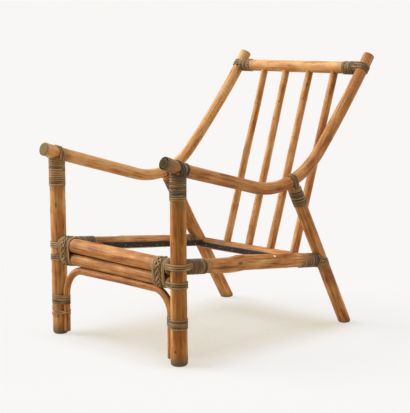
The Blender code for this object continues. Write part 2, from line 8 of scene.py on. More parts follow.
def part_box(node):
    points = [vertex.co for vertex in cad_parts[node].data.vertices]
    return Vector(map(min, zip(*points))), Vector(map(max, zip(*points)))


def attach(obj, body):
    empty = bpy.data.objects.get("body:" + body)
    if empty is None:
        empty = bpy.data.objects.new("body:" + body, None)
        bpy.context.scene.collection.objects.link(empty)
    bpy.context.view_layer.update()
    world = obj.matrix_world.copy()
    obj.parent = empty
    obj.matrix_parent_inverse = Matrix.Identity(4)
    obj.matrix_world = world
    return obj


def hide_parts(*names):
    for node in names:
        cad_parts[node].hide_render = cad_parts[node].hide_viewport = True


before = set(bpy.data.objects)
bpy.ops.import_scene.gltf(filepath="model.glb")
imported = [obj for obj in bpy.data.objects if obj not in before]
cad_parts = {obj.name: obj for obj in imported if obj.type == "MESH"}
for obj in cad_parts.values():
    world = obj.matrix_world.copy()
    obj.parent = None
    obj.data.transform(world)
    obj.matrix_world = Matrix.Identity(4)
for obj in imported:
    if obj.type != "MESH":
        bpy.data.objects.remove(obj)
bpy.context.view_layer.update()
scene = bpy.context.scene
scene.view_settings.view_transform = "Standard"
upWay = Vector((0, 0, 1))

# Places that all pieces share, read from the solids
legLow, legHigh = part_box("front_leg_left")
halfWidth = (legLow.x + legHigh.x) / 2
frontY = (legLow.y + legHigh.y) / 2
sides = {"left": 1, "right": -1}


def linear(hexText):
    # sRGB hex to the linear colour that the shader takes
    channels = [int(hexText[i:i + 2], 16) / 255 for i in (1, 3, 5)]
    return [c / 12.92 if c <= 0.04045 else ((c + 0.055) / 1.055) ** 2.4 for c in channels] + [1.0]


def perMm(*sizes):
    # Texture scale that gives features of these sizes in millimetres
    return [1000 / size for size in sizes]


def feedNode(tree, node, feeds):
    # Sets or links a node's inputs. Feeds are plain values, sockets, or nodes that give their first output.
    for socket, feed in feeds.items():
        if isinstance(feed, bpy.types.Node):
            feed = next(output for output in feed.outputs if output.enabled)
        if isinstance(feed, bpy.types.NodeSocket):
            tree.links.new(feed, node.inputs[socket])
        else:
            node.inputs[socket].default_value = feed


def addNode(tree, kind, feeds=None, stops=None, **settings):
    # One shader node with its settings and feeds. Stops are a ramp's colours.
    node = tree.nodes.new("ShaderNode" + kind)
    for key, value in settings.items():
        setattr(node, key, value)
    feedNode(tree, node, feeds or {})
    if stops:
        ramp = node.color_ramp.elements
        while len(ramp) < len(stops):
            ramp.new(1.0)
        for element, (place, hexText) in zip(ramp, stops):
            element.position = place
            element.color = linear(hexText)
    return node


def newMaterial(name):
    material = bpy.data.materials.new(name)
    material.use_nodes = True
    tree = material.node_tree
    return material, tree, tree.nodes["Principled BSDF"]


# Camera, from a perspective fit to the joints of the frame
view = {
    "azimuth": 45.39, "elevation": 8.31, "roll": -0.15,
    "lookAt": (0.0, -0.1035, 0.372),  # middle of the chair before the framing shift
    "shiftRight": 0.0553, "shiftUp": 0.0109, "distance": 3.76, "lens": 109.66,
}


def addCamera():
    az = math.radians(view["azimuth"])
    el = math.radians(view["elevation"])
    back = Vector((math.sin(az) * math.cos(el), -math.cos(az) * math.cos(el), math.sin(el)))
    right = Vector((math.cos(az), math.sin(az), 0.0))
    up = back.cross(right)
    roll = math.radians(view["roll"])
    tiltedRight = right * math.cos(roll) + up * math.sin(roll)
    tiltedUp = up * math.cos(roll) - right * math.sin(roll)
    target = Vector(view["lookAt"]) + right * view["shiftRight"] + up * view["shiftUp"]
    data = bpy.data.cameras.new("studio_camera")
    data.lens = view["lens"]
    data.sensor_width = 36.0
    camera = bpy.data.objects.new("studio_camera", data)
    scene.collection.objects.link(camera)
    turn = Matrix((tiltedRight, tiltedUp, back)).transposed().to_4x4()
    camera.matrix_world = Matrix.Translation(target + back * view["distance"]) @ turn
    scene.camera = camera


addCamera()
print("camera set")


def makeCane():
    # Rattan cane, peeled, steamed and varnished: long warm streaks, mottling, dark pores and a satin gloss
    material, tree, shader = newMaterial("varnished_rattan_cane")
    grain, scarAndShade = (
        addNode(tree, "Attribute", attribute_name=name).outputs["Vector"] for name in ("grain", "scarAndShade"))
    tone, ring, grimeAndShade, amberAndShade = (
        addNode(tree, "Attribute", attribute_name=name).outputs["Fac"]
        for name in ("tone", "ring", "grimeAndShade", "amberAndShade"))

    # Streaks 7 mm wide, blotches 28 mm, and fibres and flecks drawn 3.2 mm wide, as finer ones would not show
    fields = []
    for sizes, detail in (((7, 7, 110), 3), ((28, 28, 70), 2), ((3.2, 3.2, 75), 2), ((3.2, 3.2, 17), 1)):
        spot = addNode(tree, "Mapping", {"Vector": grain, "Scale": perMm(*sizes)})
        fields.append(addNode(tree, "TexNoise", {"Vector": spot, "Scale": 1.0, "Detail": detail}))
    streak, blotch, fibre, fleck = fields
    mixed = 0.0
    for field, weight in ((blotch, 0.35), (streak, 0.35), (fibre, 0.30), (tone, 0.12)):
        mixed = addNode(tree, "Math", {0: field, 1: weight, 2: mixed}, operation="MULTIPLY_ADD")
    colour = addNode(tree, "ValToRGB", {"Fac": mixed}, stops=[
        (0.37, "#7A461A"), (0.46, "#BC793C"), (0.53, "#D59754"), (0.61, "#EDBB7C")])

    # Thicker varnish on some poles turns them golden brown, plus painted shade on their outer front face
    colour = addNode(tree, "Mix", {
        0: amberAndShade, 6: colour, 7: linear("#C0A666")}, data_type="RGBA", blend_type="MULTIPLY")

    # Pores and short dark flecks along the grain
    fleckMask = addNode(tree, "MapRange", {"Value": fleck, "From Min": 0.64, "From Max": 0.75, "To Max": 0.5})

    # Node scars: a broken dark line round the pole
    broken = addNode(tree, "Math", {0: ring, 1: streak}, operation="MULTIPLY")
    ringMask = addNode(tree, "MapRange", {"Value": broken, "From Min": 0.30, "From Max": 0.62, "To Max": 0.6})

    # Knots, and painted shade along the lines where poles touch, by the distance from the middle of the
    # nearest one
    far = addNode(tree, "VectorMath", {0: scarAndShade}, operation="LENGTH")
    knotAndShadeMask = addNode(tree, "ValToRGB", {"Fac": far}, stops=[
        (0.0, "#B0B0B0"), (0.15, "#ECECEC"), (0.35, "#ECECEC"), (1.0, "#000000")])

    # Dirt beside the lashings and at the feet, and painted shade beside a strap and at the spindle feet,
    # patchy with the blotches
    patchy = addNode(tree, "Math", {0: blotch, 1: 0.55}, operation="ADD")
    dirtAndShadeMask = addNode(tree, "Math", {0: patchy, 1: grimeAndShade}, operation="MULTIPLY", use_clamp=True)
    layers = ((fleckMask, "#5E3516"), (ringMask, "#6B421D"), (knotAndShadeMask, "#3E2410"), (dirtAndShadeMask, "#6B5A3E"))
    for mask, hexText in layers:
        colour = addNode(tree, "Mix", {0: mask, 6: colour, 7: linear(hexText)}, data_type="RGBA")

    rough = addNode(tree, "MapRange", {
        "Value": fibre, "From Min": 0.3, "From Max": 0.7, "To Min": 0.46, "To Max": 0.64})
    relief = addNode(tree, "Math", {0: fleckMask, 1: -0.6, 2: fibre}, operation="MULTIPLY_ADD")
    bump = addNode(tree, "Bump", {"Height": relief, "Strength": 0.25, "Distance": 0.0004})
    feedNode(tree, shader, {
        "Base Color": colour, "Roughness": rough, "Specular IOR Level": 0.3, "Normal": bump})
    return material


def makeEndGrain():
    # Sawn cane, matt with old dirt: a dark rim, a paler band inside it and open pores
    material, tree, shader = newMaterial("sawn_cane_end")
    cut, amberAndShade = (addNode(tree, "Attribute", attribute_name=name).outputs["Fac"] for name in ("cut", "amberAndShade"))
    place = addNode(tree, "TexCoord").outputs["Object"]
    # Pores drawn 2 mm apart, coarser than real, so that they show
    spot = addNode(tree, "Mapping", {"Vector": place, "Scale": perMm(2, 2, 2)})
    pore = addNode(tree, "TexNoise", {"Vector": spot, "Scale": 1.0, "Detail": 2.0})
    inside = addNode(tree, "Math", {0: pore, 1: 0.3, 2: cut}, operation="MULTIPLY_ADD")
    depth = addNode(tree, "Math", {0: inside, 1: 1.15}, operation="SUBTRACT")
    rings = addNode(tree, "ValToRGB", {"Fac": depth}, stops=[
        (0.05, "#2A2013"), (0.16, "#54462E"), (0.34, "#6E5E3F"), (0.46, "#3E3321"), (0.60, "#5A4C33"),
        (0.90, "#403525")])
    # Poles with little varnish are paler at the cut too
    bare = addNode(tree, "MapRange", {"Value": amberAndShade, "From Min": 0.40, "From Max": 0.12, "To Max": 0.6})
    colour = addNode(tree, "Mix", {0: bare, 6: rings, 7: linear("#A8946A")}, data_type="RGBA")
    bump = addNode(tree, "Bump", {"Height": pore, "Strength": 0.5, "Distance": 0.0005})
    feedNode(tree, shader, {
        "Base Color": colour, "Roughness": 0.95, "Specular IOR Level": 0.0, "Normal": bump})
    return material


def makePeel():
    # Split cane peel, aged and dusty: grey-olive strands with fine fibres, darker edges and worn bright
    # crowns
    material, tree, shader = newMaterial("aged_cane_peel")
    strand = addNode(tree, "Attribute", attribute_name="strand").outputs["Vector"]
    wear = addNode(tree, "Attribute", attribute_name="wear").outputs["Fac"]
    # Fibres drawn 1.4 mm wide and 40 mm long, patches of tone 45 mm long
    fields = []
    for sizes in ((1.4, 40, 1000), (20, 45, 1000)):
        spot = addNode(tree, "Mapping", {"Vector": strand, "Scale": perMm(*sizes)})
        fields.append(addNode(tree, "TexNoise", {"Vector": spot, "Scale": 1.0, "Detail": 2.0}))
    fibre, patch = fields
    mixed = addNode(tree, "Math", {0: fibre, 1: 0.4, 2: 0.0}, operation="MULTIPLY_ADD")
    mixed = addNode(tree, "Math", {0: patch, 1: 0.6, 2: mixed}, operation="MULTIPLY_ADD")
    colour = addNode(tree, "ValToRGB", {"Fac": mixed}, stops=[
        (0.34, "#3A2B14"), (0.44, "#69502B"), (0.54, "#8E7040"), (0.66, "#C6A262")])
    rubbed = addNode(tree, "MapRange", {"Value": wear})
    soiled = addNode(tree, "MapRange", {"Value": wear, "From Max": -1.0})
    # Across runs to 2.8 mm at a strand's edge, so the darkening takes its outer half
    parts = addNode(tree, "SeparateXYZ", {0: strand})
    across = addNode(tree, "Math", {0: parts.outputs[0]}, operation="ABSOLUTE")
    edge = addNode(tree, "MapRange", {
        "Value": across, "From Min": 0.0012, "From Max": 0.0026, "To Max": 0.75})
    for mask, hexText in ((rubbed, "#C0965A"), (soiled, "#33281A"), (edge, "#2A2014")):
        colour = addNode(tree, "Mix", {0: mask, 6: colour, 7: linear(hexText)}, data_type="RGBA")
    bump = addNode(tree, "Bump", {"Height": fibre, "Strength": 0.4, "Distance": 0.0004})
    feedNode(tree, shader, {"Base Color": colour, "Roughness": 0.62, "Normal": bump})
    return material


def makeWebbing():
    # Woven black webbing, dusty: a fine over-and-under of threads that greys where it is rubbed
    material, tree, shader = newMaterial("woven_black_webbing")
    weave = addNode(tree, "Attribute", attribute_name="weave").outputs["Vector"]
    # Threads drawn 2 mm apart, coarser than real, so that they show
    waves = []
    for axis in ("X", "Y"):
        waves.append(addNode(tree, "TexWave", {
            "Vector": weave, "Scale": 1000 / 2 / 20 * 2 * math.pi, "Distortion": 0.4},
            bands_direction=axis).outputs["Fac"])
    threads = addNode(tree, "Math", {0: waves[0], 1: waves[1]}, operation="MULTIPLY")
    spot = addNode(tree, "Mapping", {"Vector": weave, "Scale": perMm(22, 7, 10)})
    dust = addNode(tree, "TexNoise", {"Vector": spot, "Scale": 1.0, "Detail": 4.0})
    mixed = addNode(tree, "Math", {0: threads, 1: 0.18, 2: dust}, operation="MULTIPLY_ADD")
    colour = addNode(tree, "ValToRGB", {"Fac": mixed}, stops=[
        (0.38, "#15120F"), (0.56, "#241E19"), (0.70, "#3B3228"), (0.82, "#5A4E3C")])
    bump = addNode(tree, "Bump", {"Height": threads, "Strength": 0.5, "Distance": 0.0005})
    feedNode(tree, shader, {"Base Color": colour, "Roughness": 0.8, "Normal": bump})
    return material


def makeSteel(name, dull, bright):
    # Drawn steel: metal with a cloudy tarnish for pins and tacks, and zinc plate, whiter, for the nail
    material, tree, shader = newMaterial(name)
    place = addNode(tree, "TexCoord").outputs["Object"]
    spot = addNode(tree, "Mapping", {"Vector": place, "Scale": perMm(3, 3, 3)})
    cloud = addNode(tree, "TexNoise", {"Vector": spot, "Scale": 1.0, "Detail": 3.0})
    colour = addNode(tree, "ValToRGB", {"Fac": cloud}, stops=[(0.35, dull), (0.60, bright)])
    rough = addNode(tree, "MapRange", {
        "Value": cloud, "From Min": 0.3, "From Max": 0.7, "To Min": 0.28, "To Max": 0.5})
    feedNode(tree, shader, {"Base Color": colour, "Metallic": 1.0, "Roughness": rough})
    return material


cane = makeCane()
endGrain = makeEndGrain()
peel = makePeel()
webbing = makeWebbing()
steel = makeSteel("tarnished_steel", "#746D61", "#A49D8F")
zinc = makeSteel("zinc_plated_steel", "#D2CFC8", "#F4F2EE")
print("materials made")


def newPiece(name, nodes, material, points, faces, fields, sawn=()):
    # A mesh piece with its point fields, riding on the chair and standing for its solids
    mesh = bpy.data.meshes.new(name)
    mesh.from_pydata(points, [], faces)
    for label, values in fields.items():
        isVector = isinstance(values[0], (tuple, Vector))
        layer = mesh.attributes.new(label, "FLOAT_VECTOR" if isVector else "FLOAT", "POINT")
        flat = [number for value in values for number in value] if isVector else values
        layer.data.foreach_set("vector" if isVector else "value", flat)
    mesh.materials.append(material)
    if sawn:
        mesh.materials.append(endGrain)
    for index in sawn:
        mesh.polygons[index].material_index = 1
    mesh.shade_smooth()
    piece = bpy.data.objects.new(name, mesh)
    scene.collection.objects.link(piece)
    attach(piece, "root")
    if nodes:
        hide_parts(*nodes)
    return piece


def span(node, origin, way):
    # How far a solid reaches along a line, from its own points
    reach = [way.dot(vertex.co - origin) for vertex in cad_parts[node].data.vertices]
    return min(reach), max(reach)


def measure(path):
    # Lengths from the first point, and the way along at each point
    lengths = [0.0]
    for here, there in zip(path, path[1:]):
        lengths.append(lengths[-1] + (there - here).length)
    ways = []
    for i in range(len(path)):
        ways.append((path[min(i + 1, len(path) - 1)] - path[max(i - 1, 0)]).normalized())
    return lengths, ways


def spotOn(path, lengths, ways, distance):
    i = 1
    while i < len(path) - 1 and lengths[i] < distance:
        i += 1
    share = (distance - lengths[i - 1]) / (lengths[i] - lengths[i - 1])
    return path[i - 1].lerp(path[i], share), ways[i - 1].lerp(ways[i], max(0.0, min(1.0, share))).normalized()


def between(stops, share):
    # Smooth value from a list of (share, value) stops
    for (low, first), (high, second) in zip(stops, stops[1:]):
        if share <= high:
            t = max(0.0, (share - low) / (high - low))
            return first + (second - first) * t * t * (3 - 2 * t)
    return stops[-1][1]


poleLook = {
    "sides": 36, "step": 0.0055,
    "nodeRise": 0.0006, "nodeHalf": 0.0045, "nodeStep": 0.0011, "nodeSlant": 0.16,
    "nodeGroove": 0.0011, "nodeLine": 0.0026,  # half widths of the groove and of the dark line on a node
    "hollow": 0.00045, "hollowLength": 0.055,  # shallow dips that keep a pole from looking turned
    "rim": 0.0022, "fit": 0.022, "bite": 0.006, "capRings": (0.12, 0.35, 0.55, 0.8),
    "paintedShadeWay": Vector((0.80, -0.60, 0.0)),  # outer front face, darkened by painted shade
}
sawnEnd = {"kind": "open"}
floorEnd = {"kind": "floor"}


def scribedEnd(at, way, radius):
    # An end cut to fit against the pole that runs through there
    return {"kind": "through", "at": at, "way": way, "radius": radius}


def cutShift(end, point, way):
    # How far a line on the pole's skin runs on to the floor or to the pole that the end is scribed to
    if end["kind"] == "floor":
        return -point.z / way.z
    off = point - end["at"]
    off -= end["way"] * off.dot(end["way"])
    run = way - end["way"] * way.dot(end["way"])
    a = run.dot(run)
    b = 2 * off.dot(run)
    c = off.dot(off) - end["radius"] ** 2
    nearest = -b / (2 * a)
    deepest = nearest - (end["radius"] - poleLook["bite"]) / math.sqrt(a)
    inside = b * b - 4 * a * c
    if inside <= 0:
        return deepest
    return min(deepest, (-b - math.sqrt(inside)) / (2 * a))


def buildPole(node, path, radius, nodes=(), ends=(None, None), tone=0.0, scarsAndShadeLines=(), grimeAndShade=(),
              amberAndShade=0.12, paintedShade=0.0, ringShare=0.7, footRim=None):
    # A pole swept along its path. Ends are sawn, scribed to another pole, cut at the floor or tucked in.
    # Scars are (distance, facing, width, height, faintness). One without a height is a painted shade line all
    # along.
    # Grime and painted shade are (share of the length, width, strength).
    look = poleLook
    chance = random.Random(node)
    seed = Vector([chance.uniform(-5, 5) for _ in range(3)])
    lengths, ways = measure(path)
    length = lengths[-1]
    kinds = [end["kind"] if end else "tucked" for end in ends]
    rims = [footRim if footRim and kind == "floor" else look["rim"] for kind in kinds]
    places = [share * length for share in nodes]
    slants = [chance.uniform(0, 2 * math.pi) for _ in places]
    count = max(4, round(length / look["step"]))
    marks = [length * i / count for i in range(count + 1)]
    for place in places:
        marks += [place + look["nodeStep"] * i for i in range(-8, 9)]
    for kind, edge, turn, rim in zip(kinds, (0.0, length), (1, -1), rims):
        if kind in ("open", "floor"):
            marks += [edge + turn * rim * (1 - math.cos(math.pi / 2 * i / 7)) for i in range(8)]
    marks = sorted(mark for mark in marks if 0 <= mark <= length)
    marks = [mark for i, mark in enumerate(marks) if i == 0 or mark - marks[i - 1] > 0.00012]

    sideCount = look["sides"]
    around = [2 * math.pi * j / sideCount for j in range(sideCount)]
    points = []
    fields = {name: [] for name in ("grain", "ring", "grimeAndShade", "cut", "scarAndShade", "amberAndShade")}

    def nearestScarOrShade(mark, angle, way, normal, side, plain):
        # Offset from the middle of the nearest scar or painted shade line, in shares of its size
        nearest = Vector((9.0, 9.0, 9.0))
        for at, facing, wide, tall, faint in scarsAndShadeLines:
            facing = Vector(facing)
            if abs(facing.dot(way)) > 0.8:
                continue
            toward = math.atan2(facing.dot(side), facing.dot(normal))
            turnBy = (angle - toward + math.pi) % (2 * math.pi) - math.pi
            offset = Vector((turnBy * plain / wide, (mark - at) / tall if tall else 0.0, faint))
            nearest = min(nearest, offset, key=lambda v: v.length)
        return nearest

    def addRing(mark, centre, way, normal, inner, isCut):
        side = way.cross(normal)
        plain = between(radius, mark / length)
        trim = 0.0
        for kind, gap, rim in zip(kinds, (mark, length - mark), rims):
            if kind in ("open", "floor") and gap < rim:
                trim = rim - math.sqrt(max(0.0, rim ** 2 - (rim - gap) ** 2))
        # Dirt and painted shade along the length
        dirtAndShadeHere = sum(much * math.exp(-((mark - at * length) / wide) ** 2) for at, wide, much in grimeAndShade)
        for angle in around:
            outward = normal * math.cos(angle) + side * math.sin(angle)
            dip = noise.noise(seed + Vector((
                1.4 * math.cos(angle), 1.4 * math.sin(angle), mark / look["hollowLength"])))
            size = plain - look["hollow"] * (0.5 + 0.5 * dip) - trim
            line = 0.0
            for place, slant in zip(places, slants):
                gap = mark - place - look["nodeSlant"] * plain * math.cos(angle - slant)
                size += look["nodeRise"] * math.exp(-(gap / look["nodeHalf"]) ** 2)
                size -= 0.4 * look["nodeRise"] * math.exp(-(gap / look["nodeGroove"]) ** 2)
                line = max(line, math.exp(-(gap / look["nodeLine"]) ** 2))
            size *= inner
            point = centre + outward * size
            shift = 0.0
            if kinds[0] in ("through", "floor") and mark < look["fit"]:
                shift = -cutShift(ends[0], point - way * mark, -way) * (1 - mark / look["fit"])
            rest = length - mark
            if kinds[1] in ("through", "floor") and rest < look["fit"]:
                shift = cutShift(ends[1], point + way * rest, way) * (1 - rest / look["fit"])
            points.append(point + way * shift)
            fields["grain"].append(
                Vector((math.cos(angle) * size, math.sin(angle) * size, mark + shift)) + seed)
            fields["ring"].append(line * ringShare)
            fields["grimeAndShade"].append(min(1.0, dirtAndShadeHere))
            fields["cut"].append(2.0 - inner if isCut else 0.0)
            fields["scarAndShade"].append(nearestScarOrShade(mark, angle, way, normal, side, plain))
            # The outer front face gets painted shade on top of the varnish colour
            fields["amberAndShade"].append(amberAndShade + paintedShade * max(0.0, outward.dot(look["paintedShadeWay"])))

    normal = ways[0].orthogonal().normalized()
    axes = []
    for mark in marks:
        centre, way = spotOn(path, lengths, ways, mark)
        normal = (normal - way * normal.dot(way)).normalized()
        axes.append((mark, centre, way, normal))
    rows = [(axes[0], share, kinds[0] in ("open", "floor")) for share in look["capRings"]]
    rows += [(axis, 1.0, False) for axis in axes]
    rows += [(axes[-1], share, kinds[1] in ("open", "floor")) for share in reversed(look["capRings"])]
    for axis, inner, isCut in rows:
        addRing(*axis, inner, isCut)

    faces = []
    sawn = []
    capRows = len(look["capRings"])
    for i in range(len(rows) - 1):
        low = i * sideCount
        for j in range(sideCount):
            k = (j + 1) % sideCount
            if i < capRows or i > len(rows) - capRows - 2:
                sawn.append(len(faces))
            faces.append((low + j, low + k, low + sideCount + k, low + sideCount + j))
    sawn += [len(faces), len(faces) + 1]
    faces.append(tuple(range(sideCount))[::-1])
    faces.append(tuple(range((len(rows) - 1) * sideCount, len(rows) * sideCount)))
    fields["tone"] = [tone + chance.uniform(-0.25, 0.25)] * len(points)
    return newPiece(f"cane_{node}", [node], cane, points, faces, fields, sawn)


# Arm poles: armrest, bend and back post in one piece
armPole = {
    "height": {"left": 0.5394, "right": 0.5462}, "fall": {"left": 14.5, "right": 15.8},
    "run": {"left": 0.3054, "right": 0.3213}, "bendRadius": {"left": 0.289, "right": 0.2377},
    "knee": {"left": 48.3, "right": 45.5}, "post": {"left": 0.3549, "right": 0.4023},
    "overhang": 0.0535, "lean": 53.6, "rack": 0.004, "step": 0.003,
    "frontLift": {"left": 0.0068, "right": 0.001}, "liftFrom": 0.060,
    "radius": {
        "left": [(0.0, 0.0193), (0.08, 0.0186), (0.2, 0.0180), (0.45, 0.0180), (0.6, 0.0181), (1.0, 0.0179)],
        "right": [
            (0.0, 0.0200), (0.08, 0.0191), (0.3, 0.0188), (0.5, 0.0174), (0.75, 0.0169), (0.93, 0.0176),
            (1.0, 0.0188),
        ],
    },
    "nodes": {"left": (0.417, 0.70), "right": (0.33, 0.66, 0.86)},
    "tone": {"left": -0.1, "right": 0.35}, "amberAndShade": {"left": 0.42, "right": 0.12},
    # Dirt at the sawn ends; painted shade on the front stretch and beside the strap
    "grimeAndShade": {
        "left": [(0.0, 0.004, 0.5), (0.0, 0.042, 0.65), (0.060, 0.018, 0.6), (1.0, 0.004, 0.5)],
        "right": [(0.0, 0.004, 0.7), (0.068, 0.014, 0.5), (1.0, 0.004, 0.5)],
    },
}


def armPath(side):
    fall = math.radians(armPole["fall"][side])
    knee = math.radians(armPole["knee"][side])
    lean = math.radians(armPole["lean"])
    run = armPole["run"][side]
    post = armPole["post"][side]
    bend = armPole["bendRadius"][side] * (knee + fall)
    total = run + bend + post
    place = Vector((sides[side] * halfWidth, frontY, armPole["height"][side]))
    place -= Vector((0.0, math.cos(fall), -math.sin(fall))) * armPole["overhang"]
    steps = round((total + armPole["overhang"]) / armPole["step"])
    step = (total + armPole["overhang"]) / steps
    path = [place.copy()]
    for i in range(steps):
        walked = step * (i + 0.5) - armPole["overhang"]
        turned = max(0.0, min(1.0, (walked - run) / bend))
        bowed = max(0.0, (walked - run - bend) / post)
        way = -fall + (knee + fall) * turned + (lean - knee) * bowed
        place += Vector((0.0, math.cos(way), math.sin(way))) * step
        path.append(place + Vector((armPole["rack"] * bowed, 0.0, 0.0)))
    # The front end turns up a little from where the arm passes the leg
    start = frontY + armPole["liftFrom"]
    reach = start - path[0].y
    for point in path:
        point.z += armPole["frontLift"][side] * (max(0.0, start - point.y) / reach) ** 2
    return path


def armAt(side, distance):
    # Point, way and radius of the arm pole at a distance from its front end
    path = armPaths[side]
    lengths, ways = measure(path)
    point, way = spotOn(path, lengths, ways, distance)
    return point, way, between(armPole["radius"][side], distance / lengths[-1])


armPaths = {side: armPath(side) for side in sides}
armLengths = {side: measure(path)[0][-1] for side, path in armPaths.items()}
for side in sides:
    buildPole(
        f"arm_pole_{side}", armPaths[side], armPole["radius"][side], armPole["nodes"][side],
        (sawnEnd, sawnEnd), armPole["tone"][side],
        grimeAndShade=armPole["grimeAndShade"][side], amberAndShade=armPole["amberAndShade"][side])
print("arm poles built")

# Legs
frontLeg = {
    "radius": {
        "left": [(0.0, 0.0238), (0.04, 0.0244), (0.12, 0.0236), (0.3, 0.0231), (0.5, 0.0226), (1.0, 0.0222)],
        "right": [(0.0, 0.0232), (0.04, 0.0236), (0.3, 0.0235), (1.0, 0.0234)],
    },
    "leanOut": {"left": -0.0005, "right": 0.0040},
    "nodes": {"left": (0.30, 0.66), "right": (0.36, 0.715)},
    "tone": {"left": 0.15, "right": 0.45}, "amberAndShade": {"left": 0.08, "right": 0.0},
    # Painted shade on each leg's outer front face
    "paintedShade": {"left": 0.95, "right": 0.36},
    "grimeAndShade": ((0.0, 0.024, 1.0), (0.84, 0.010, 0.35), (0.54, 0.020, 0.25), (0.235, 0.016, 0.3)),
    "footRim": 0.009,
    "scarsAndShadeLines": {
        "left": [(0.043, (0.34, -0.94, 0.0), 0.0052, 0.0058, 0.2)],
        "right": [(0.393, (0.62, -0.78, 0.0), 0.0042, 0.0120, 0.3)],
    },
}
rearLeg = {
    "foot": {"left": 0.713, "right": 0.7205}, "rake": {"left": 29.0, "right": 31.7},
    "radius": {"left": 0.0188, "right": 0.0205}, "amberAndShade": 0.10,
    "nodes": {"left": (0.24, 0.66), "right": (0.30, 0.72)},
    "tone": {"left": 0.1, "right": 0.30},
    # Extra radius, and how far the cane bows forward, at shares of the length
    "swell": {"left": [(1.0, 0.0)], "right": [(0.0, 0.0), (0.45, 0.0002), (0.65, 0.0017), (1.0, 0.0007)]},
    "bow": {
        "left": [(1.0, 0.0)],
        "right": [(0.0, 0.0), (0.42, 0.0), (0.66, 0.0070), (0.85, 0.0036), (1.0, 0.0010)],
    },
    "grimeAndShade": ((0.0, 0.014, 0.9), (0.8, 0.012, 0.3), (0.44, 0.02, 0.3)), "footRim": 0.010,
}
rearLines = {}
bendCrossings = {}
for side, sign in sides.items():
    rake = math.radians(rearLeg["rake"][side])
    foot = Vector((sign * halfWidth, frontY + rearLeg["foot"][side], 0.0))
    rise = Vector((0.0, -math.sin(rake), math.cos(rake)))
    rearLines[side] = (foot, rise)
    lengths, ways = measure(armPaths[side])
    ahead = [(point - foot).cross(rise).x for point in armPaths[side]]
    index = next(i for i in range(60, len(ahead)) if ahead[i - 1] * ahead[i] <= 0)
    bendCrossings[side] = armAt(side, lengths[index])

for side, sign in sides.items():
    overArm, armWay, armRadius = armAt(side, armPole["overhang"])
    foot = Vector((sign * halfWidth, frontY, 0.0))
    top = overArm - upWay * armRadius
    top.x += sign * frontLeg["leanOut"][side]
    buildPole(
        f"front_leg_{side}", [foot, top], frontLeg["radius"][side], frontLeg["nodes"][side],
        (floorEnd, scribedEnd(overArm, armWay, armRadius)), frontLeg["tone"][side], frontLeg["scarsAndShadeLines"][side],
        frontLeg["grimeAndShade"], frontLeg["amberAndShade"][side], frontLeg["paintedShade"][side], 0.3, frontLeg["footRim"])
    crossing, bendWay, bendRadius = bendCrossings[side]
    foot, rise = rearLines[side]
    thick = rearLeg["radius"][side]
    path = [foot.lerp(crossing - rise * bendRadius, i / 40) for i in range(41)]
    for i, point in enumerate(path):
        point.y -= between(rearLeg["bow"][side], i / 40)
    buildPole(
        f"rear_leg_{side}", path, [(share, thick + more) for share, more in rearLeg["swell"][side]],
        rearLeg["nodes"][side], (floorEnd, scribedEnd(crossing, bendWay, bendRadius)),
        rearLeg["tone"][side], grimeAndShade=rearLeg["grimeAndShade"], amberAndShade=rearLeg["amberAndShade"],
        footRim=rearLeg["footRim"])
print("legs built")

# Seat rails
sideRail = {
    "frontHeight": 0.2745, "rearHeight": 0.2125,
    "radius": {
        "left": [
            (0.0, 0.0198), (0.15, 0.0202), (0.30, 0.0223), (0.335, 0.0231), (0.37, 0.0239), (0.405, 0.0226),
            (0.5, 0.0221), (0.7, 0.0219), (0.9, 0.0210), (1.0, 0.0196),
        ],
        "right": [
            (0.0, 0.0188), (0.36, 0.0182), (0.42, 0.0206), (0.55, 0.0204), (0.8, 0.0192), (1.0, 0.0180),
        ],
    },
    "sag": {
        "left": [
            (0.0, 0.0012), (0.30, 0.0023), (0.335, 0.0006), (0.37, -0.0023), (0.405, -0.0037),
            (0.55, -0.0035), (0.75, -0.0036), (1.0, -0.0014),
        ],
        "right": [(0.0, 0.0), (0.36, 0.0), (0.45, 0.0014), (0.8, 0.0010), (1.0, 0.0)],
    },
    "nodes": (0.40, 0.74), "amberAndShade": {"left": 0.10, "right": 0.0},
    "scarsAndShadeLines": {"left": [(0.196, (0.80, -0.35, 0.16), 0.0062, 0.0140, 0.35)], "right": []},
    "nail": {"distance": 0.369, "facing": Vector((0.66, -0.10, 0.74)), "size": 2.1},  # size in tack heads
    "grimeAndShade": {
        "left": [(0.14, 0.014, 0.35), (0.86, 0.016, 0.35)],
        "right": [(0.14, 0.014, 0.3), (0.30, 0.080, 0.35), (0.86, 0.016, 0.35)],
    },
}
frontRail = {
    "upperHeight": {"left": 0.2699, "right": 0.2769},
    "upperRadius": [(0.0, 0.0214), (0.5, 0.0221), (0.82, 0.0213), (1.0, 0.0214)],
    "lowerHeight": {"left": 0.2306, "right": 0.2366},
    "lowerRadius": [(0.0, 0.0178), (0.5, 0.0176), (0.85, 0.0188), (1.0, 0.0188)],
    "nodes": (0.37, 0.69), "amberAndShade": {"upper": 0.45, "lower": 0.42},
    # Lines without a height are painted shade where the rails touch each other and the brace
    "scarsAndShadeLines": {
        "upper": [(0.0, (0, 0, -1), 0.0115, None, 0.0), (0.333, (0.0, -0.93, 0.36), 0.0080, 0.0150, 0.6)],
        "lower": [(0.0, (0, 0, 1), 0.0095, None, 0.0), (0.0, (0, 0, -1), 0.0100, None, 0.0)],
    },
    "grimeAndShade": ((0.0, 0.016, 0.9), (0.15, 0.012, 0.4), (0.85, 0.012, 0.4), (1.0, 0.016, 0.9)),
}
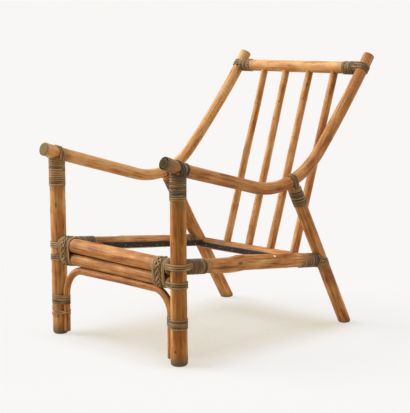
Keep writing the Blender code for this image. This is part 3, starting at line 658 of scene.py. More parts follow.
archBrace = {
    "height": 0.2014, "cornerRadius": {"left": 0.064, "right": 0.078}, "inset": 0.0326,
    "radius": [
        (0.0, 0.0098), (0.14, 0.0100), (0.22, 0.0112), (0.32, 0.0113), (0.48, 0.0115), (0.66, 0.0120),
        (0.80, 0.0104), (1.0, 0.0098),
    ],
    "rise": [(-1.0, 0.0002), (0.0, 0.0033), (1.0, 0.0036)],  # how it bows up to the rail, from +X to -X
    "foot": {"left": 0.014, "right": 0.012}, "nodes": (0.21, 0.76), "step": 0.004,
    # The line without a height is painted shade along the top, where the brace touches the lower rail
    "scarsAndShadeLines": [(0.0, (0, 0, 1), 0.0060, None, 0.0)],
    "grimeAndShade": ((0.0, 0.02, 0.6), (1.0, 0.02, 0.6), (0.13, 0.01, 0.3)), "amberAndShade": 0.4,
}
legThick = {side: between(frontLeg["radius"][side], 0.5) for side in sides}
frontEnds = {side: Vector((sign * halfWidth, frontY, 0.0)) for side, sign in sides.items()}
inward = {side: Vector((-sign, 0.0, 0.0)) for side, sign in sides.items()}
railLines = {}
for side, sign in sides.items():
    foot, rise = rearLines[side]
    front = Vector((sign * halfWidth, frontY, sideRail["frontHeight"]))
    rear = foot + rise * (sideRail["rearHeight"] / rise.z)
    run = (rear - front).normalized()
    railLines[side] = (front, rear, run)
    thick = legThick[side]
    rearThick = rearLeg["radius"][side]
    path = [(front + run * thick).lerp(rear - run * rearThick, i / 60) for i in range(61)]
    for i, point in enumerate(path):
        point.z -= between(sideRail["sag"][side], i / 60)
    buildPole(
        f"side_rail_{side}", path, sideRail["radius"][side], sideRail["nodes"],
        (scribedEnd(front, upWay, thick), scribedEnd(rear, rise, rearThick)), 0.1, sideRail["scarsAndShadeLines"][side],
        sideRail["grimeAndShade"][side], sideRail["amberAndShade"][side])

for level in ("upper", "lower"):
    height = frontRail[f"{level}Height"]
    path = [frontEnds[side] + upWay * height[side] + inward[side] * legThick[side] for side in sides]
    ends = [scribedEnd(frontEnds[side], upWay, legThick[side]) for side in sides]
    buildPole(
        f"front_rail_{level}", path, frontRail[f"{level}Radius"], frontRail["nodes"], ends, 0.15,
        frontRail["scarsAndShadeLines"][level], frontRail["grimeAndShade"], frontRail["amberAndShade"][level])


def bracePath():
    inner = halfWidth - archBrace["inset"]
    legs = {}
    for side, sign in sides.items():
        corner = archBrace["cornerRadius"][side]
        low = archBrace["height"] - corner
        foot = archBrace["foot"][side]
        legSteps = round((low - foot) / archBrace["step"])
        leg = [Vector((sign * inner, frontY, foot + (low - foot) * i / legSteps)) for i in range(legSteps)]
        turns = round(corner * math.pi / 2 / archBrace["step"])
        for i in range(turns + 1):
            angle = math.pi / 2 * i / turns
            reach = inner - corner + corner * math.cos(angle)
            high = corner * math.sin(angle)
            lift = between(archBrace["rise"], -sign * reach / inner) * high / corner
            leg.append(Vector((sign * reach, frontY, low + high + lift)))
        legs[side] = leg
    flat = [legs["left"][-1].lerp(legs["right"][-1], i / 40) for i in range(1, 40)]
    for point in flat:
        point.z = archBrace["height"] + between(archBrace["rise"], -point.x / inner)
    return legs["left"] + flat + legs["right"][::-1]


buildPole(
    "front_arch_brace", bracePath(), archBrace["radius"], archBrace["nodes"], (sawnEnd, sawnEnd), 0.0,
    archBrace["scarsAndShadeLines"], archBrace["grimeAndShade"], archBrace["amberAndShade"])
print("seat frame built")

# Back: two rails and four spindles
backRail = {
    "height": 0.2046, "radius": 0.0178, "nodes": (0.5,), "tone": -0.1, "amberAndShade": 0.35,
    "grimeAndShade": ((0.18, 0.012, 0.35), (0.60, 0.050, 0.25), (0.85, 0.060, 0.45)),
}
topRail = {
    "drop": {"left": 0.0490, "right": 0.0500}, "radius": 0.0188, "nodes": (0.55,),
    "tone": 0.45, "amberAndShade": 0.12, "grimeAndShade": ((0.13, 0.010, 0.35), (0.90, 0.010, 0.35)),
}
spindle = {
    "radius": (0.0112, 0.0116, 0.0121, 0.0124), "footGrowth": 0.0010, "socket": 0.009, "wander": 0.0020,
    "lowSpacing": 0.0958, "lowShift": -0.0008, "highSpacing": 0.0992, "highShift": 0.0038,
    # How far the foot and the head of each stand off the even spacing
    "aside": ((0.0, 0.0040), (0.0, -0.0015), (-0.0025, -0.0018), (0.0, 0.0)),
    "nodes": ((0.22, 0.52, 0.80), (0.12, 0.45, 0.72), (0.30, 0.62, 0.84), (0.26, 0.55, 0.83)),
    "scarsAndShadeLines": (
        [],
        [(0.480, (0.48, -0.83, 0.27), 0.0052, 0.0028, 0.2)],
        [
            (0.094, (0.45, -0.85, 0.27), 0.0055, 0.0026, 0.3),
            (0.540, (0.68, -0.68, 0.27), 0.0040, 0.0090, 0.3),
        ],
        [(0.515, (0.68, -0.68, 0.27), 0.0040, 0.0036, 0.3)],
    ),
    # Painted shade at the foot, where it sits in the back rail, and darkening at the head
    "grimeAndShade": ((0.0, 0.015, 0.45), (1.0, 0.014, 0.35)),
}
backEnds = {}
topEnds = {}
for side, sign in sides.items():
    foot, rise = rearLines[side]
    backEnds[side] = foot + rise * (backRail["height"] / rise.z)
    topEnds[side] = armAt(side, armLengths[side] - topRail["drop"][side])
topPlaces, topWays, topRadii = ({side: topEnds[side][i] for side in sides} for i in range(3))
for node, rail, at, ways, radii in (
    ("back_rail", backRail, backEnds, {side: rearLines[side][1] for side in sides}, rearLeg["radius"]),
    ("top_rail", topRail, topPlaces, topWays, topRadii),
):
    across = (at["right"] - at["left"]).normalized()
    path = [at["left"] + across * radii["left"], at["right"] - across * radii["right"]]
    ends = [scribedEnd(at[side], ways[side], radii[side]) for side in sides]
    buildPole(
        node, path, [(1.0, rail["radius"])], rail["nodes"], ends, rail["tone"],
        grimeAndShade=rail["grimeAndShade"], amberAndShade=rail["amberAndShade"])

spindleCount = len(spindle["radius"])
for i, thick in enumerate(spindle["radius"]):
    number = i - (spindleCount - 1) / 2
    lowAside, highAside = spindle["aside"][i]
    lowShare = 0.5 - (spindle["lowShift"] + lowAside + number * spindle["lowSpacing"]) / (2 * halfWidth)
    highShare = 0.5 - (spindle["highShift"] + highAside + number * spindle["highSpacing"]) / (2 * halfWidth)
    low = backEnds["left"].lerp(backEnds["right"], lowShare)
    high = topPlaces["left"].lerp(topPlaces["right"], highShare)
    rise = (high - low).normalized()
    foot = low + rise * (backRail["radius"] - spindle["socket"])
    head = high - rise * (topRail["radius"] - spindle["socket"])
    path = []
    for step in range(61):
        share = step / 60
        sway = noise.noise(Vector((share * 2.6, 3.7 * i, 0.5))) * math.sin(math.pi * share)
        sway *= spindle["wander"]
        path.append(foot.lerp(head, share) + Vector((sway, 0.0, 0.0)))
    buildPole(
        f"back_spindle_{i + 1}", path, [(0.0, thick + spindle["footGrowth"]), (0.8, thick), (1.0, thick)],
        spindle["nodes"][i], (None, None), 0.15, spindle["scarsAndShadeLines"][i], spindle["grimeAndShade"])
print("back built")

# Lashings of split peel
peelLook = {
    "height": 0.0019, "half": 0.0028, "lift": 0.0002, "fill": 0.98, "profile": 7,
    "tailGap": 0.0004, "tailStep": 0.004, "waver": 0.0004,
}


def loft(stations, width, height, chance, wear=0.0):
    # Half-round strand along (point, outward, width factor) stations. Returns its points, faces and fields.
    points, faces, strand, wearField = [], [], [], []
    tag = chance.uniform(0, 40)
    walked = chance.uniform(0, 3)
    count = peelLook["profile"]
    for i, (point, outward, wide) in enumerate(stations):
        before = stations[max(i - 1, 0)][0]
        after = stations[min(i + 1, len(stations) - 1)][0]
        along = (after - before).normalized()
        across = along.cross(outward).normalized()
        lift = across.cross(along).normalized()
        walked += (point - before).length
        tall = height * (1 + 0.22 * noise.noise(Vector((walked / 0.03, tag, 0.0))))
        edge = min(i, len(stations) - 1 - i)
        tall *= min(1.0, 0.35 + edge * 0.12)
        for j in range(count):
            angle = math.pi * j / (count - 1)
            sideways = math.cos(angle) * width * wide / 2
            points.append(point + across * sideways + lift * (math.sin(angle) ** 0.8 * tall))
            strand.append((math.cos(angle) * peelLook["half"], walked, tag))
            wearField.append(wear)
    for i in range(len(stations) - 1):
        low = i * count
        for j in range(count):
            k = (j + 1) % count
            faces.append((low + j, low + count + j, low + count + k, low + k))
    faces.append(tuple(range(count)))
    faces.append(tuple(range((len(stations) - 1) * count, len(stations) * count))[::-1])
    return points, faces, strand, wearField


def bindPiece(node, strands):
    # Joins the strands of one lashing to one piece
    points, faces, strand, wear = [], [], [], []
    for madePoints, madeFaces, madeStrand, madeWear in strands:
        base = len(points)
        points += madePoints
        faces += [tuple(base + corner for corner in face) for face in madeFaces]
        strand += madeStrand
        wear += madeWear
    newPiece(f"peel_{node}", [node], peel, points, faces, {"strand": strand, "wear": wear})


def ringOutline(radius, count=32):
    outline = []
    for i in range(count):
        angle = 2 * math.pi * i / count
        outward = Vector((math.cos(angle), math.sin(angle), 0.0))
        outline.append((outward * (radius + peelLook["lift"]), outward))
    return outline


def pairOutline(first, second, distance, turn=14, flat=5):
    # Round two poles side by side, the second at +X of the first
    lean = math.asin((first - second) / distance)
    outline = []
    halves = (
        (first, 0.0, math.pi / 2 - lean, 3 * math.pi / 2 + lean),
        (second, distance, 3 * math.pi / 2 + lean, 5 * math.pi / 2 - lean),
    )
    for radius, shift, start, stop in halves:
        for i in range(turn + 1):
            angle = start + (stop - start) * i / turn
            outward = Vector((math.cos(angle), math.sin(angle), 0.0))
            outline.append((outward * (radius + peelLook["lift"]) + Vector((shift, 0.0, 0.0)), outward))
        last, out = outline[-1]
        other, otherShift = (second, distance) if shift == 0.0 else (first, 0.0)
        goal = Vector((math.cos(stop), math.sin(stop), 0.0)) * (other + peelLook["lift"])
        goal += Vector((otherShift, 0.0, 0.0))
        for i in range(1, flat):
            outline.append((last.lerp(goal, i / flat), out))
    return outline


def sideFrame(origin, zWay, xWay):
    # Z along a pole and X as near xWay as it can be
    up = zWay.normalized()
    across = (xWay - up * xWay.dot(up)).normalized()
    turn = Matrix((across, up.cross(across), up)).transposed().to_4x4()
    return Matrix.Translation(origin) @ turn


def windSleeve(node, matrix, outline, low, high, loops, height=None, tilt=(0.0, 0.0), wear=0.0):
    # One strand wound side by side along the frame's Z, from low to high.
    # The tilt of the first and the last loop is how far they climb across the frame's Y.
    chance = random.Random(node)
    height = height or peelLook["height"]
    widths = [chance.uniform(0.88, 1.12) for _ in range(loops)]
    pitch = (high - low) / (sum(widths) + 1)
    count = len(outline)
    marks = [low + pitch / 2]
    for width in widths:
        marks.append(marks[-1] + width * pitch)
    stations = []
    for i in range(loops * count + 1):
        loop = min(i // count, loops - 1)
        share = i / count - loop
        climb = marks[loop] + (marks[loop + 1] - marks[loop]) * share
        climb += 0.09 * pitch * noise.noise(Vector((i / count * 3.1, 7.0, loops)))
        point, outward = outline[i % count]
        climb += point.y * (tilt[1] + (tilt[0] - tilt[1]) * (1 - i / (loops * count)) ** 2)
        stations.append((
            matrix @ (point + Vector((0.0, 0.0, climb))), matrix.to_3x3() @ outward, widths[loop]))
    made = loft(stations, pitch * peelLook["fill"], height, chance)
    wearField = made[3]
    perLoop = count * peelLook["profile"]
    for loop in range(loops):
        tone = wear + (0.6 if loop == loops - 1 else chance.choice((-0.6, -0.3, 0.0, 0.2, 0.6)))
        for i in range(loop * perLoop, (loop + 1) * perLoop):
            wearField[i] = tone
    return made


def slipLoops(matrix, outline, start, stop, turns, width, height, chance):
    # A slack strand that climbs fast round an outline
    count = len(outline)
    stations = []
    for i in range(round(turns * count) + 1):
        point, outward = outline[i % count]
        climb = start + (stop - start) * i / (turns * count)
        stations.append((matrix @ (point + Vector((0.0, 0.0, climb))), matrix.to_3x3() @ outward, 1.0))
    return loft(stations, width, height, chance, 0.6)


def layStrap(matrix, reach, sweep, tails, lines, width, height, chance, wear=0.0):
    # Strands laid round a pole that runs along the frame's Z, the sweep centred on -X.
    # Each tail is (length, spread). Each line is its level at the first tail, the middle and the last tail.
    made = []
    turns = max(6, round(sweep / math.radians(9)))
    for first, middle, last in lines:
        flat = []
        for end, (length, spread) in enumerate(tails):
            angle = math.pi + sweep / 2 * (1 if end else -1)
            outward = Vector((math.cos(angle), math.sin(angle), 0.0))
            way = Vector((-outward.y, outward.x, 0.0)) * (1 if end else -1)
            steps = max(2, round(length / peelLook["tailStep"]))
            row = []
            for i in range(1, steps + 1):
                share = i / steps
                ease = share * share * (3 - 2 * share)
                row.append((outward * (reach + spread * ease) + way * length * share, outward))
            flat.append(row)
        arc = []
        for i in range(turns + 1):
            angle = math.pi - sweep / 2 + sweep * i / turns
            outward = Vector((math.cos(angle), math.sin(angle), 0.0))
            arc.append((outward * reach, outward))
        row = flat[0][::-1] + arc + flat[1]
        stations = []
        for i, (point, outward) in enumerate(row):
            share = i / (len(row) - 1)
            level = between([(0.0, first), (0.5, middle), (1.0, last)], share)
            level += peelLook["waver"] * noise.noise(Vector((share * 4, first * 900, 1.0)))
            stations.append((matrix @ (point + Vector((0.0, 0.0, level))), matrix.to_3x3() @ outward, 1.0))
        made.append(loft(stations, width, height, chance, wear + chance.uniform(-0.35, 0.35)))
    return made


def braidOver(node, matrix, outline, sign, middle):
    # Three strands plaited down the front of a wrap
    chance = random.Random(node + "braid")
    plait = sleeves["plait"]
    front = [spot for spot in outline if spot[1].y * sign > -0.45]
    front.sort(key=lambda spot: spot[0].x)
    made = []
    for phase in (0.0, 2 * math.pi / 3, 4 * math.pi / 3):
        stations = []
        steps = 4 * (len(front) - 1)
        for i in range(steps + 1):
            index = min(i // 4, len(front) - 2)
            share = i / 4 - index
            point = front[index][0].lerp(front[index + 1][0], share)
            outward = front[index][1].lerp(front[index + 1][1], share).normalized()
            turn = 2 * math.pi * plait["turns"] * i / steps + phase
            lift = sleeves["frontWrap"]["height"] + plait["rise"] * math.sin(2 * turn)
            place = point + outward * lift + Vector((0.0, 0.0, middle + plait["half"] * math.sin(turn)))
            stations.append((matrix @ place, matrix.to_3x3() @ outward, 1.0))
        made.append(loft(stations, plait["width"], plait["height"], chance, plait["wear"]))
    return made


sleeves = {
    "legTop": {
        "loops": 13, "height": 0.0013, "bottom": {"left": 0.4530, "right": 0.4445},
        "wear": {"left": -0.35, "right": 0.5},
    },
    "railFront": {
        "loops": {"left": 14, "right": 17}, "short": {"left": 0.006, "right": -0.030},
        "sag": {"left": 0.0016, "right": 0.0004},
    },
    "railRear": {"loops": 15, "longer": 0.003, "lift": {"left": 0.0014, "right": 0.0}},
    "rearTop": {
        "loops": 13, "longer": {"left": -0.0045, "right": 0.012}, "tilt": {"left": 0.29, "right": 0.0},
    },
    "topRail": {"loops": {"left": 12, "right": 9}, "short": {"left": 0.0185, "right": 0.031}},
    "frontWrap": {
        "loops": 11, "height": 0.0024, "start": {"left": -0.0065, "right": -0.0150},
        "stop": {"left": -0.0034, "right": -0.0140}, "wear": {"left": 0.2, "right": 0.55},
    },
    "plait": {
        "half": 0.0085, "turns": 3.2, "rise": 0.0012, "width": 0.0052, "height": 0.0022, "wear": 0.25,
    },
    "braceBand": {"loops": 8, "height": 0.0010, "middle": {"left": 0.118, "right": 0.108}, "length": 0.031},
    "slipped": {
        "left": (), "right": ((0.034, 0.006), (0.012, 0.036)),
        "turns": 1.4, "width": 0.0050, "height": 0.0014,
    },
}
straps = {
    "arm": {
        "wear": {"left": -0.7, "right": 0.35},
        "lines": (
            (-0.014, -0.011, 0.002), (-0.008, -0.005, 0.008), (0.001, 0.001, 0.014), (0.012, 0.006, -0.004),
        ),
        "width": 0.0050, "height": 0.0026,
        "loopsFrom": 0.0175, "loopsTo": 0.0310, "loops": {"left": 2, "right": 0},
    },
    "bend": {"levels": (-0.0085, -0.003, 0.003, 0.0085), "width": 0.0050, "height": 0.0020},
    "corner": {
        "lines": ((-0.0072, -0.0066, -0.0058), (-0.0010, -0.0004, 0.0004), (0.0056, 0.0058, 0.0066)),
        "width": 0.0064, "rise": 0.0030, "height": {"left": 0.2746, "right": 0.2730},
    },
    "lower": {
        "lines": ((0.0060, 0.0072, 0.0078), (-0.0002, 0.0006, 0.0014), (-0.0066, -0.0060, -0.0052)),
        "width": 0.0062, "rise": 0.0028, "height": {"left": 0.2242, "right": 0.2340},
    },
    "rear": {
        "lines": (
            (0.006, -0.001, -0.011), (-0.006, 0.000, 0.010), (0.003, 0.006, -0.004), (-0.003, -0.007, 0.003),
        ),
        "width": 0.0052, "height": 0.0024,
    },
    "post": {"levels": (-0.0082, -0.0028, 0.0028, 0.0082), "width": 0.0052, "height": 0.0024},
}


def tailOnto(low, thick, reach, tuck=0.002):
    # Length and spread of a strap's tail that ends under the first turns of a sleeve
    return low + tuck, thick + peelLook["tailGap"] - reach


def bindStrap(node, matrix, reach, sweep, tails, lines, width, height, wear=0.0):
    chance = random.Random(node)
    bindPiece(node, layStrap(matrix, reach, sweep, tails, lines, width, height, chance, wear))


def bindTop(side):
    # Sleeve on the front leg's top, and strands fanned over the arm
    over, way, armRadius = armAt(side, armPole["overhang"])
    node = f"leg_top_sleeve_{side}"
    low = armRadius - 0.003
    high = over.z - sleeves["legTop"]["bottom"][side]
    thick = between(frontLeg["radius"][side], 0.9)
    lean = Vector((0.92 * sides[side] * frontLeg["leanOut"][side], 0.0, 0.0))
    matrix = sideFrame(over + lean, -upWay, inward[side])
    slope = -sides[side] * way.z / way.y
    bindPiece(node, [windSleeve(
        node, matrix, ringOutline(thick), low, high, sleeves["legTop"]["loops"], sleeves["legTop"]["height"],
        (slope, 0.0), sleeves["legTop"]["wear"][side])])
    strap = straps["arm"]
    node = f"arm_strap_{side}"
    chance = random.Random(node)
    reach = armRadius + peelLook["lift"]
    tails = [tailOnto(low, thick, reach, 0.003)] * 2
    matrix = sideFrame(over, way, -upWay)
    strands = layStrap(
        matrix, reach, math.pi, tails, strap["lines"], strap["width"], strap["height"], chance,
        strap["wear"][side])
    if strap["loops"][side]:
        strands.append(windSleeve(
            node, matrix, ringOutline(armRadius), strap["loopsFrom"], strap["loopsTo"], strap["loops"][side],
            wear=strap["wear"][side]))
    bindPiece(node, strands)


def bindBend(side):
    # Sleeve on the rear leg's top, and strands over the bend
    crossing, way, bendRadius = bendCrossings[side]
    rise = rearLines[side][1]
    node = f"rear_top_sleeve_{side}"
    low, high = span(node, crossing, -rise)
    high += sleeves["rearTop"]["longer"][side]
    thick = rearLeg["radius"][side]
    bow = Vector((0.0, between(rearLeg["bow"][side], 0.92), 0.0))
    matrix = sideFrame(crossing - bow, -rise, inward[side])
    tilt = sleeves["rearTop"]["tilt"][side]
    bindPiece(node, [windSleeve(
        node, matrix, ringOutline(thick), low, high, sleeves["rearTop"]["loops"], tilt=(tilt, tilt))])
    strap = straps["bend"]
    reach = bendRadius + peelLook["lift"]
    lines = [(0.8 * level, level, 0.8 * level) for level in strap["levels"]]
    tails = [tailOnto(low, thick, reach)] * 2
    bindStrap(
        f"bend_strap_{side}", sideFrame(crossing, way, -rise), reach, math.pi, tails, lines,
        strap["width"], strap["height"])


def bindFrontCorner(side, sign):
    # Side rail's front sleeve, the wrap round both front rails and the strands round the leg
    front, _, run = railLines[side]
    node = f"rail_front_sleeve_{side}"
    low, high = span(node, front, run)
    high -= sleeves["railFront"]["short"][side]
    matrix = sideFrame(front - upWay * sleeves["railFront"]["sag"][side], run, inward[side])
    railThick = sideRail["radius"][side][0][1]
    bindPiece(node, [windSleeve(
        node, matrix, ringOutline(railThick), 0.78 * legThick[side], high,
        sleeves["railFront"]["loops"][side])])

    node = f"front_rail_wrap_{side}"
    upper = frontEnds[side] + upWay * frontRail["upperHeight"][side]
    drop = frontRail["upperHeight"][side] - frontRail["lowerHeight"][side]
    wrapLow, wrapHigh = span(node, upper, inward[side])
    wrapLow += sleeves["frontWrap"]["start"][side]
    wrapHigh += sleeves["frontWrap"]["stop"][side]
    end = 0 if sign > 0 else 1
    upperThick = between(frontRail["upperRadius"], end)
    lowerThick = between(frontRail["lowerRadius"], end)
    wrap = pairOutline(upperThick, lowerThick, drop)
    matrix = sideFrame(upper, inward[side], -upWay)
    strands = [windSleeve(
        node, matrix, wrap, wrapLow, wrapHigh, sleeves["frontWrap"]["loops"], sleeves["frontWrap"]["height"],
        wear=sleeves["frontWrap"]["wear"][side])]
    strands += braidOver(node, matrix, wrap, sign, (wrapLow + wrapHigh) / 2)
    if wrapLow > legThick[side] + 0.006:
        strands.append(windSleeve(
            node + "neck", matrix, ringOutline(upperThick), 0.92 * legThick[side], wrapLow + 0.002, 4,
            wear=-0.2))
    bindPiece(node, strands)

    strap = straps["corner"]
    thick = legThick[side]
    reach = max(thick, railThick, upperThick) + peelLook["lift"]
    tails = [tailOnto(wrapLow, upperThick, reach), tailOnto(low, railThick, reach)]
    corner = sideFrame(
        frontEnds[side] + upWay * strap["height"][side], upWay * sign, inward[side] + Vector((0.0, 1.0, 0.0)))
    bindStrap(
        f"front_corner_strap_{side}", corner, reach, math.pi / 2, tails, strap["lines"],
        strap["width"], strap["rise"], 0.3)
    strap = straps["lower"]
    reach = thick + peelLook["lift"]
    tails = [tailOnto(wrapLow, lowerThick, reach)] * 2
    lower = sideFrame(frontEnds[side] + upWay * strap["height"][side], upWay, inward[side])
    bindStrap(
        f"front_lower_strap_{side}", lower, reach, math.pi, tails, strap["lines"],
        strap["width"], strap["rise"], 0.2)


def bindBrace(side):
    # Band round leg and brace
    node = f"brace_band_{side}"
    low = sleeves["braceBand"]["middle"][side] - sleeves["braceBand"]["length"] / 2
    high = low + sleeves["braceBand"]["length"]
    thick = between(frontLeg["radius"][side], 0.2)
    band = pairOutline(thick, archBrace["radius"][0][1], archBrace["inset"])
    matrix = sideFrame(frontEnds[side], upWay, inward[side])
    strands = [windSleeve(
        node, matrix, band, low, high, sleeves["braceBand"]["loops"], sleeves["braceBand"]["height"])]
    # Old turns that have slipped below the band and cross there
    slip = sleeves["slipped"]
    chance = random.Random(node + "slipped")
    for start, stop in slip[side]:
        strands.append(slipLoops(
            matrix, band, low - start, low - stop, slip["turns"], slip["width"], slip["height"], chance))
    bindPiece(node, strands)


def bindRearCorner(side, sign):
    # Side rail's rear sleeve and the strands from it round the rear leg to the back rail
    _, rear, run = railLines[side]
    rise = rearLines[side][1]
    node = f"rail_rear_sleeve_{side}"
    low = 0.9 * rearLeg["radius"][side]
    high = span(node, rear, -run)[1] + sleeves["railRear"]["longer"]
    railThick = sideRail["radius"][side][-1][1]
    matrix = sideFrame(rear + upWay * sleeves["railRear"]["lift"][side], -run, inward[side])
    bindPiece(node, [windSleeve(
        node, matrix, ringOutline(railThick), low, high, sleeves["railRear"]["loops"])])
    strap = straps["rear"]
    thick = rearLeg["radius"][side]
    reach = 1.06 * thick + peelLook["lift"]
    tails = [
        (thick + 0.005, backRail["radius"] - 0.0010 - reach),
        (low + 0.012, railThick + peelLook["height"] + 0.0006 - reach),
    ]
    # Laid level with the rails, and leaning with the leg
    level = (upWay - run * run.z).normalized()
    corner = sideFrame(rear, -level * sign, inward[side] - run)
    lean = -rise * sign / rise.dot(level)
    for row in range(3):
        corner[row][2] = lean[row]
    lines = [tuple(sign * height for height in line) for line in strap["lines"]]
    bindStrap(
        f"rear_corner_strap_{side}", corner, reach, math.pi / 2, tails, lines,
        strap["width"], strap["height"])


def bindTopRail(side):
    # Top rail's sleeve and the strands round the post
    at, way, postRadius = topEnds[side]
    across = (topEnds["right"][0] - topEnds["left"][0]).normalized() * sides[side]
    node = f"top_rail_sleeve_{side}"
    low, high = span(node, at, across)
    high -= sleeves["topRail"]["short"][side]
    matrix = sideFrame(at, across, way)
    bindPiece(node, [windSleeve(
        node, matrix, ringOutline(topRail["radius"]), 0.85 * postRadius, high,
        sleeves["topRail"]["loops"][side])])
    strap = straps["post"]
    reach = postRadius + peelLook["lift"]
    tails = [tailOnto(low, topRail["radius"], reach)] * 2
    lines = [(level, level, level) for level in strap["levels"]]
    bindStrap(
        f"post_strap_{side}", sideFrame(at, way, across), reach, math.pi, tails, lines,
        strap["width"], strap["height"])


for side, sign in sides.items():
    bindTop(side)
    bindBend(side)
    bindFrontCorner(side, sign)
    bindBrace(side)
    bindRearCorner(side, sign)
    bindTopRail(side)
print("lashings wound")

# Webbing strips tacked along the seat side of the rails
strip = {
    "thickness": 0.0016, "off": 0.0003, "step": 0.008, "fray": 0.0006, "frayLength": 0.03,
    "tackGap": 0.062, "tackStray": 0.002, "tackRadius": 0.0017, "tackRise": 0.0009,
    "side": {"width": 0.0195, "low": 0.0070},
    "back": {"width": 0.0165, "low": 0.0030},
    "start": {"left": 0.0, "right": 0.045}, "drop": {"left": 0.0, "right": 0.0012}, "backReach": 0.020,
}


def addTacks(name, spots, metal, size=1.0):
    # Domed steel heads, each at a (centre, outward, along) spot
    points, faces = [], []
    for centre, outward, along in spots:
        aside = along.cross(outward)
        base = len(points)
        for wide, rise in ((1.0, -0.2), (1.0, 0.15), (0.8, 0.65), (0.45, 0.95)):
            for j in range(12):
                angle = 2 * math.pi * j / 12
                flat = along * math.cos(angle) + aside * math.sin(angle)
                step = flat * strip["tackRadius"] * wide + outward * strip["tackRise"] * rise
                points.append(centre + step * size)
        for row in range(base, base + 36, 12):
            for j in range(12):
                k = (j + 1) % 12
                faces.append((row + j, row + k, row + 12 + k, row + 12 + j))
        faces.append(tuple(range(base + 36, base + 48)))
        faces.append(tuple(range(base, base + 12))[::-1])
    newPiece(name, [], metal, points, faces, {})


def buildStrip(node, origin, way, low, high, radius, facing, shape):
    facing = (facing - way * facing.dot(way)).normalized()
    over = way.cross(facing)
    sag = math.copysign(shape["low"] / radius, -over.z)
    chance = random.Random(node)
    half = shape["width"] / 2
    points, faces, weave = [], [], []
    profile = [
        (-1.0, 0.0), (-0.99, 0.7), (-0.9, 1.0), (-0.45, 1.0), (0.0, 1.0), (0.45, 1.0),
        (0.9, 1.0), (0.99, 0.7), (1.0, 0.0), (0.5, 0.0), (0.0, 0.0), (-0.5, 0.0),
    ]
    steps = round((high - low) / strip["step"])
    for i in range(steps + 1):
        distance = low + (high - low) * i / steps
        spot = Vector((distance / strip["frayLength"], 2.0, chance.random() * 0.2))
        fray = strip["fray"] * noise.noise(spot)
        for across, lift in profile:
            angle = (across * half + fray) / radius + sag
            outward = facing * math.cos(angle) + over * math.sin(angle)
            skin = radius + strip["off"] + lift * strip["thickness"]
            points.append(origin + way * distance + outward * skin)
            weave.append((distance, across * half, lift * 0.001))
    count = len(profile)
    for i in range(steps):
        for j in range(count):
            k = (j + 1) % count
            faces.append((i * count + j, i * count + k, (i + 1) * count + k, (i + 1) * count + j))
    faces.append(tuple(range(count))[::-1])
    faces.append(tuple(range(steps * count, (steps + 1) * count)))
    newPiece(f"webbing_{node}", [node], webbing, points, faces, {"weave": weave})

    spots = []
    tacks = round((high - low) / strip["tackGap"])
    for i in range(tacks):
        distance = low + (high - low) * (i + 0.5 + chance.uniform(-0.12, 0.12)) / tacks
        aside = chance.uniform(-strip["tackStray"], strip["tackStray"]) / radius + sag
        outward = facing * math.cos(aside) + over * math.sin(aside)
        skin = radius + strip["off"] + strip["thickness"]
        spots.append((origin + way * distance + outward * skin, outward, way))
    addTacks(f"tacks_{node}", spots, steel)


for side, sign in sides.items():
    front, rear, run = railLines[side]
    node = f"seat_strip_{side}"
    low = span(node, front, run)[0] + strip["start"][side]
    high = (rear - front).length - 0.002
    buildStrip(
        node, front - upWay * strip["drop"][side], run, low, high, between(sideRail["radius"][side], 0.5),
        inward[side], strip["side"])
across = (backEnds["right"] - backEnds["left"]).normalized()
low, high = span("seat_strip_back", backEnds["left"], across)
buildStrip(
    "seat_strip_back", backEnds["left"], across, low - strip["backReach"], high + strip["backReach"],
    backRail["radius"], Vector((0.0, -1.0, 0.0)), strip["back"])

# One nail in the near side rail
front, rear, along = railLines["left"]
outward = sideRail["nail"]["facing"].normalized()
outward = (outward - along * outward.dot(along)).normalized()
share = sideRail["nail"]["distance"] / (rear - front).length
centre = front.lerp(rear, share) - upWay * between(sideRail["sag"]["left"], share)
centre += outward * between(sideRail["radius"]["left"], share)
addTacks("nail_side_rail_left", [(centre, outward, along)], zinc, sideRail["nail"]["size"])
for name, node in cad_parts.items():
    if "_pin_" in name:
        node.data.materials.clear()
        node.data.materials.append(steel)
print("strips, tacks and pins done")

# Studio: pale floor that takes a faint shadow, soft light from the left and above, a weak one from behind
studio = {
    "backdrop": "#F8F7F5", "floorColour": "#E8E8E8", "bounceColour": "#CDC3B4", "floorSize": 14.0,
    "shadeColour": "#AF9200", "shadeReach": 0.45, "shadeFrom": 0.85, "shadeTo": 0.98, "shadeMost": 0.50,
    "shadeEdge": 0.11, "shadeAside": 0.05, "shadowShare": 0.25, "clearRadius": 0.75, "fadeRadius": 1.3,
    "ambient": 0.17, "ambientColour": "#FFEBCC",
    "soft_key": {"from": (-0.66, -0.50, 0.56), "spread": 45, "strength": 3.0, "colour": "#FFFFFF"},
    "soft_top": {"from": (0.0, 0.0, 1.0), "spread": 40, "strength": 1.4, "colour": "#F6F8FF"},
    "soft_rim": {"from": (0.75, 0.55, 0.45), "spread": 60, "strength": 0.6, "colour": "#FFFFFF"},
}


def addLamp(name):
    lamp = studio[name]
    data = bpy.data.lights.new(name, "SUN")
    data.color = linear(lamp["colour"])[:3]
    data.energy = lamp["strength"]
    data.angle = math.radians(lamp["spread"])
    piece = bpy.data.objects.new(name, data)
    scene.collection.objects.link(piece)
    piece.rotation_euler = Vector(lamp["from"]).to_track_quat("Z", "Y").to_euler()


def seenRay(tree):
    # 1 where the ray shows the background, straight or in a gloss
    path = addNode(tree, "LightPath")
    seen = path.outputs["Is Camera Ray"]
    for other in ("Is Glossy Ray", "Is Transmission Ray"):
        seen = addNode(tree, "Math", {0: seen, 1: path.outputs[other]}, operation="MAXIMUM").outputs[0]
    return seen


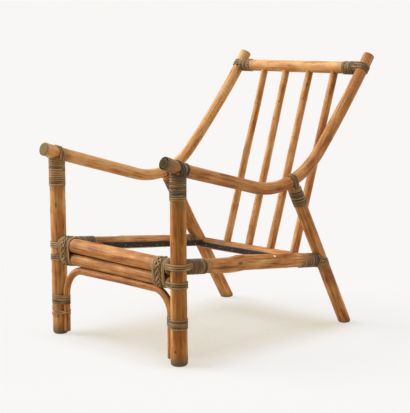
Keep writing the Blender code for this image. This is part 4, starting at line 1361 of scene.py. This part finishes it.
def addFloor():
    size = studio["floorSize"]
    mesh = bpy.data.meshes.new("floor")
    corners = [(-size, -size, 0), (size, -size, 0), (size, size, 0), (-size, size, 0)]
    mesh.from_pydata(corners, [], [(0, 1, 2, 3)])
    floor = bpy.data.objects.new("floor", mesh)
    scene.collection.objects.link(floor)
    material, tree, shader = newMaterial("painted_studio_floor")
    feedNode(tree, shader, {"Roughness": 0.9, "Specular IOR Level": 0.0})
    # To the camera the floor is the backdrop's colour, with a warm shade close under the chair
    # and some real shadow
    near = addNode(tree, "AmbientOcclusion", {"Distance": studio["shadeReach"]}, samples=16)
    closed = addNode(tree, "MapRange", {
        "Value": near.outputs["AO"], "From Min": studio["shadeTo"], "From Max": studio["shadeFrom"],
        "To Max": studio["shadeMost"]}).outputs[0]
    place = addNode(tree, "TexCoord").outputs["Object"]
    parts = addNode(tree, "SeparateXYZ", {0: place})
    middle = (frontY + rearLines["left"][0].y) / 2
    halfDepth = rearLines["left"][0].y - middle
    for axis, centre, half in ((0, studio["shadeAside"], halfWidth), (1, middle, halfDepth)):
        off = addNode(tree, "Math", {0: parts.outputs[axis], 1: centre}, operation="SUBTRACT")
        off = addNode(tree, "Math", {0: off.outputs[0]}, operation="ABSOLUTE")
        under = addNode(tree, "MapRange", {
            "Value": off.outputs[0], "From Min": half + studio["shadeEdge"],
            "From Max": half - studio["shadeEdge"]}, interpolation_type="SMOOTHSTEP")
        closed = addNode(tree, "Math", {0: closed, 1: under}, operation="MULTIPLY").outputs[0]
    shaded = addNode(tree, "Mix", {
        0: closed, 6: linear(studio["backdrop"]), 7: linear(studio["shadeColour"])}, data_type="RGBA")
    plain = addNode(tree, "Emission", {"Color": shaded.outputs[2]})
    far = addNode(tree, "VectorMath", {0: place}, operation="LENGTH")
    plainShare = addNode(tree, "MapRange", {
        "Value": far.outputs["Value"], "From Min": studio["clearRadius"], "From Max": studio["fadeRadius"],
        "To Min": 1 - studio["shadowShare"]}, interpolation_type="SMOOTHSTEP")
    seen = seenRay(tree)
    colour = addNode(tree, "Mix", {
        0: seen, 6: linear(studio["bounceColour"]), 7: linear(studio["floorColour"])}, data_type="RGBA")
    feedNode(tree, shader, {"Base Color": colour})
    share = addNode(tree, "Math", {0: seen, 1: plainShare}, operation="MULTIPLY")
    mix = addNode(tree, "MixShader", {0: share, 1: shader, 2: plain})
    tree.links.new(mix.outputs[0], tree.nodes["Material Output"].inputs["Surface"])
    mesh.materials.append(material)


def addWorld():
    world = bpy.data.worlds.new("studio")
    scene.world = world
    world.use_nodes = True
    tree = world.node_tree
    seen = seenRay(tree)
    backdrop = addNode(tree, "Background", {"Color": linear(studio["backdrop"])})
    soft = tree.nodes["Background"]
    feedNode(tree, soft, {"Color": linear(studio["ambientColour"]), "Strength": studio["ambient"]})
    mix = addNode(tree, "MixShader", {0: seen, 1: soft, 2: backdrop})
    tree.links.new(mix.outputs[0], tree.nodes["World Output"].inputs["Surface"])


addFloor()
addWorld()
for name in ("soft_key", "soft_top", "soft_rim"):
    addLamp(name)
print("studio lit")
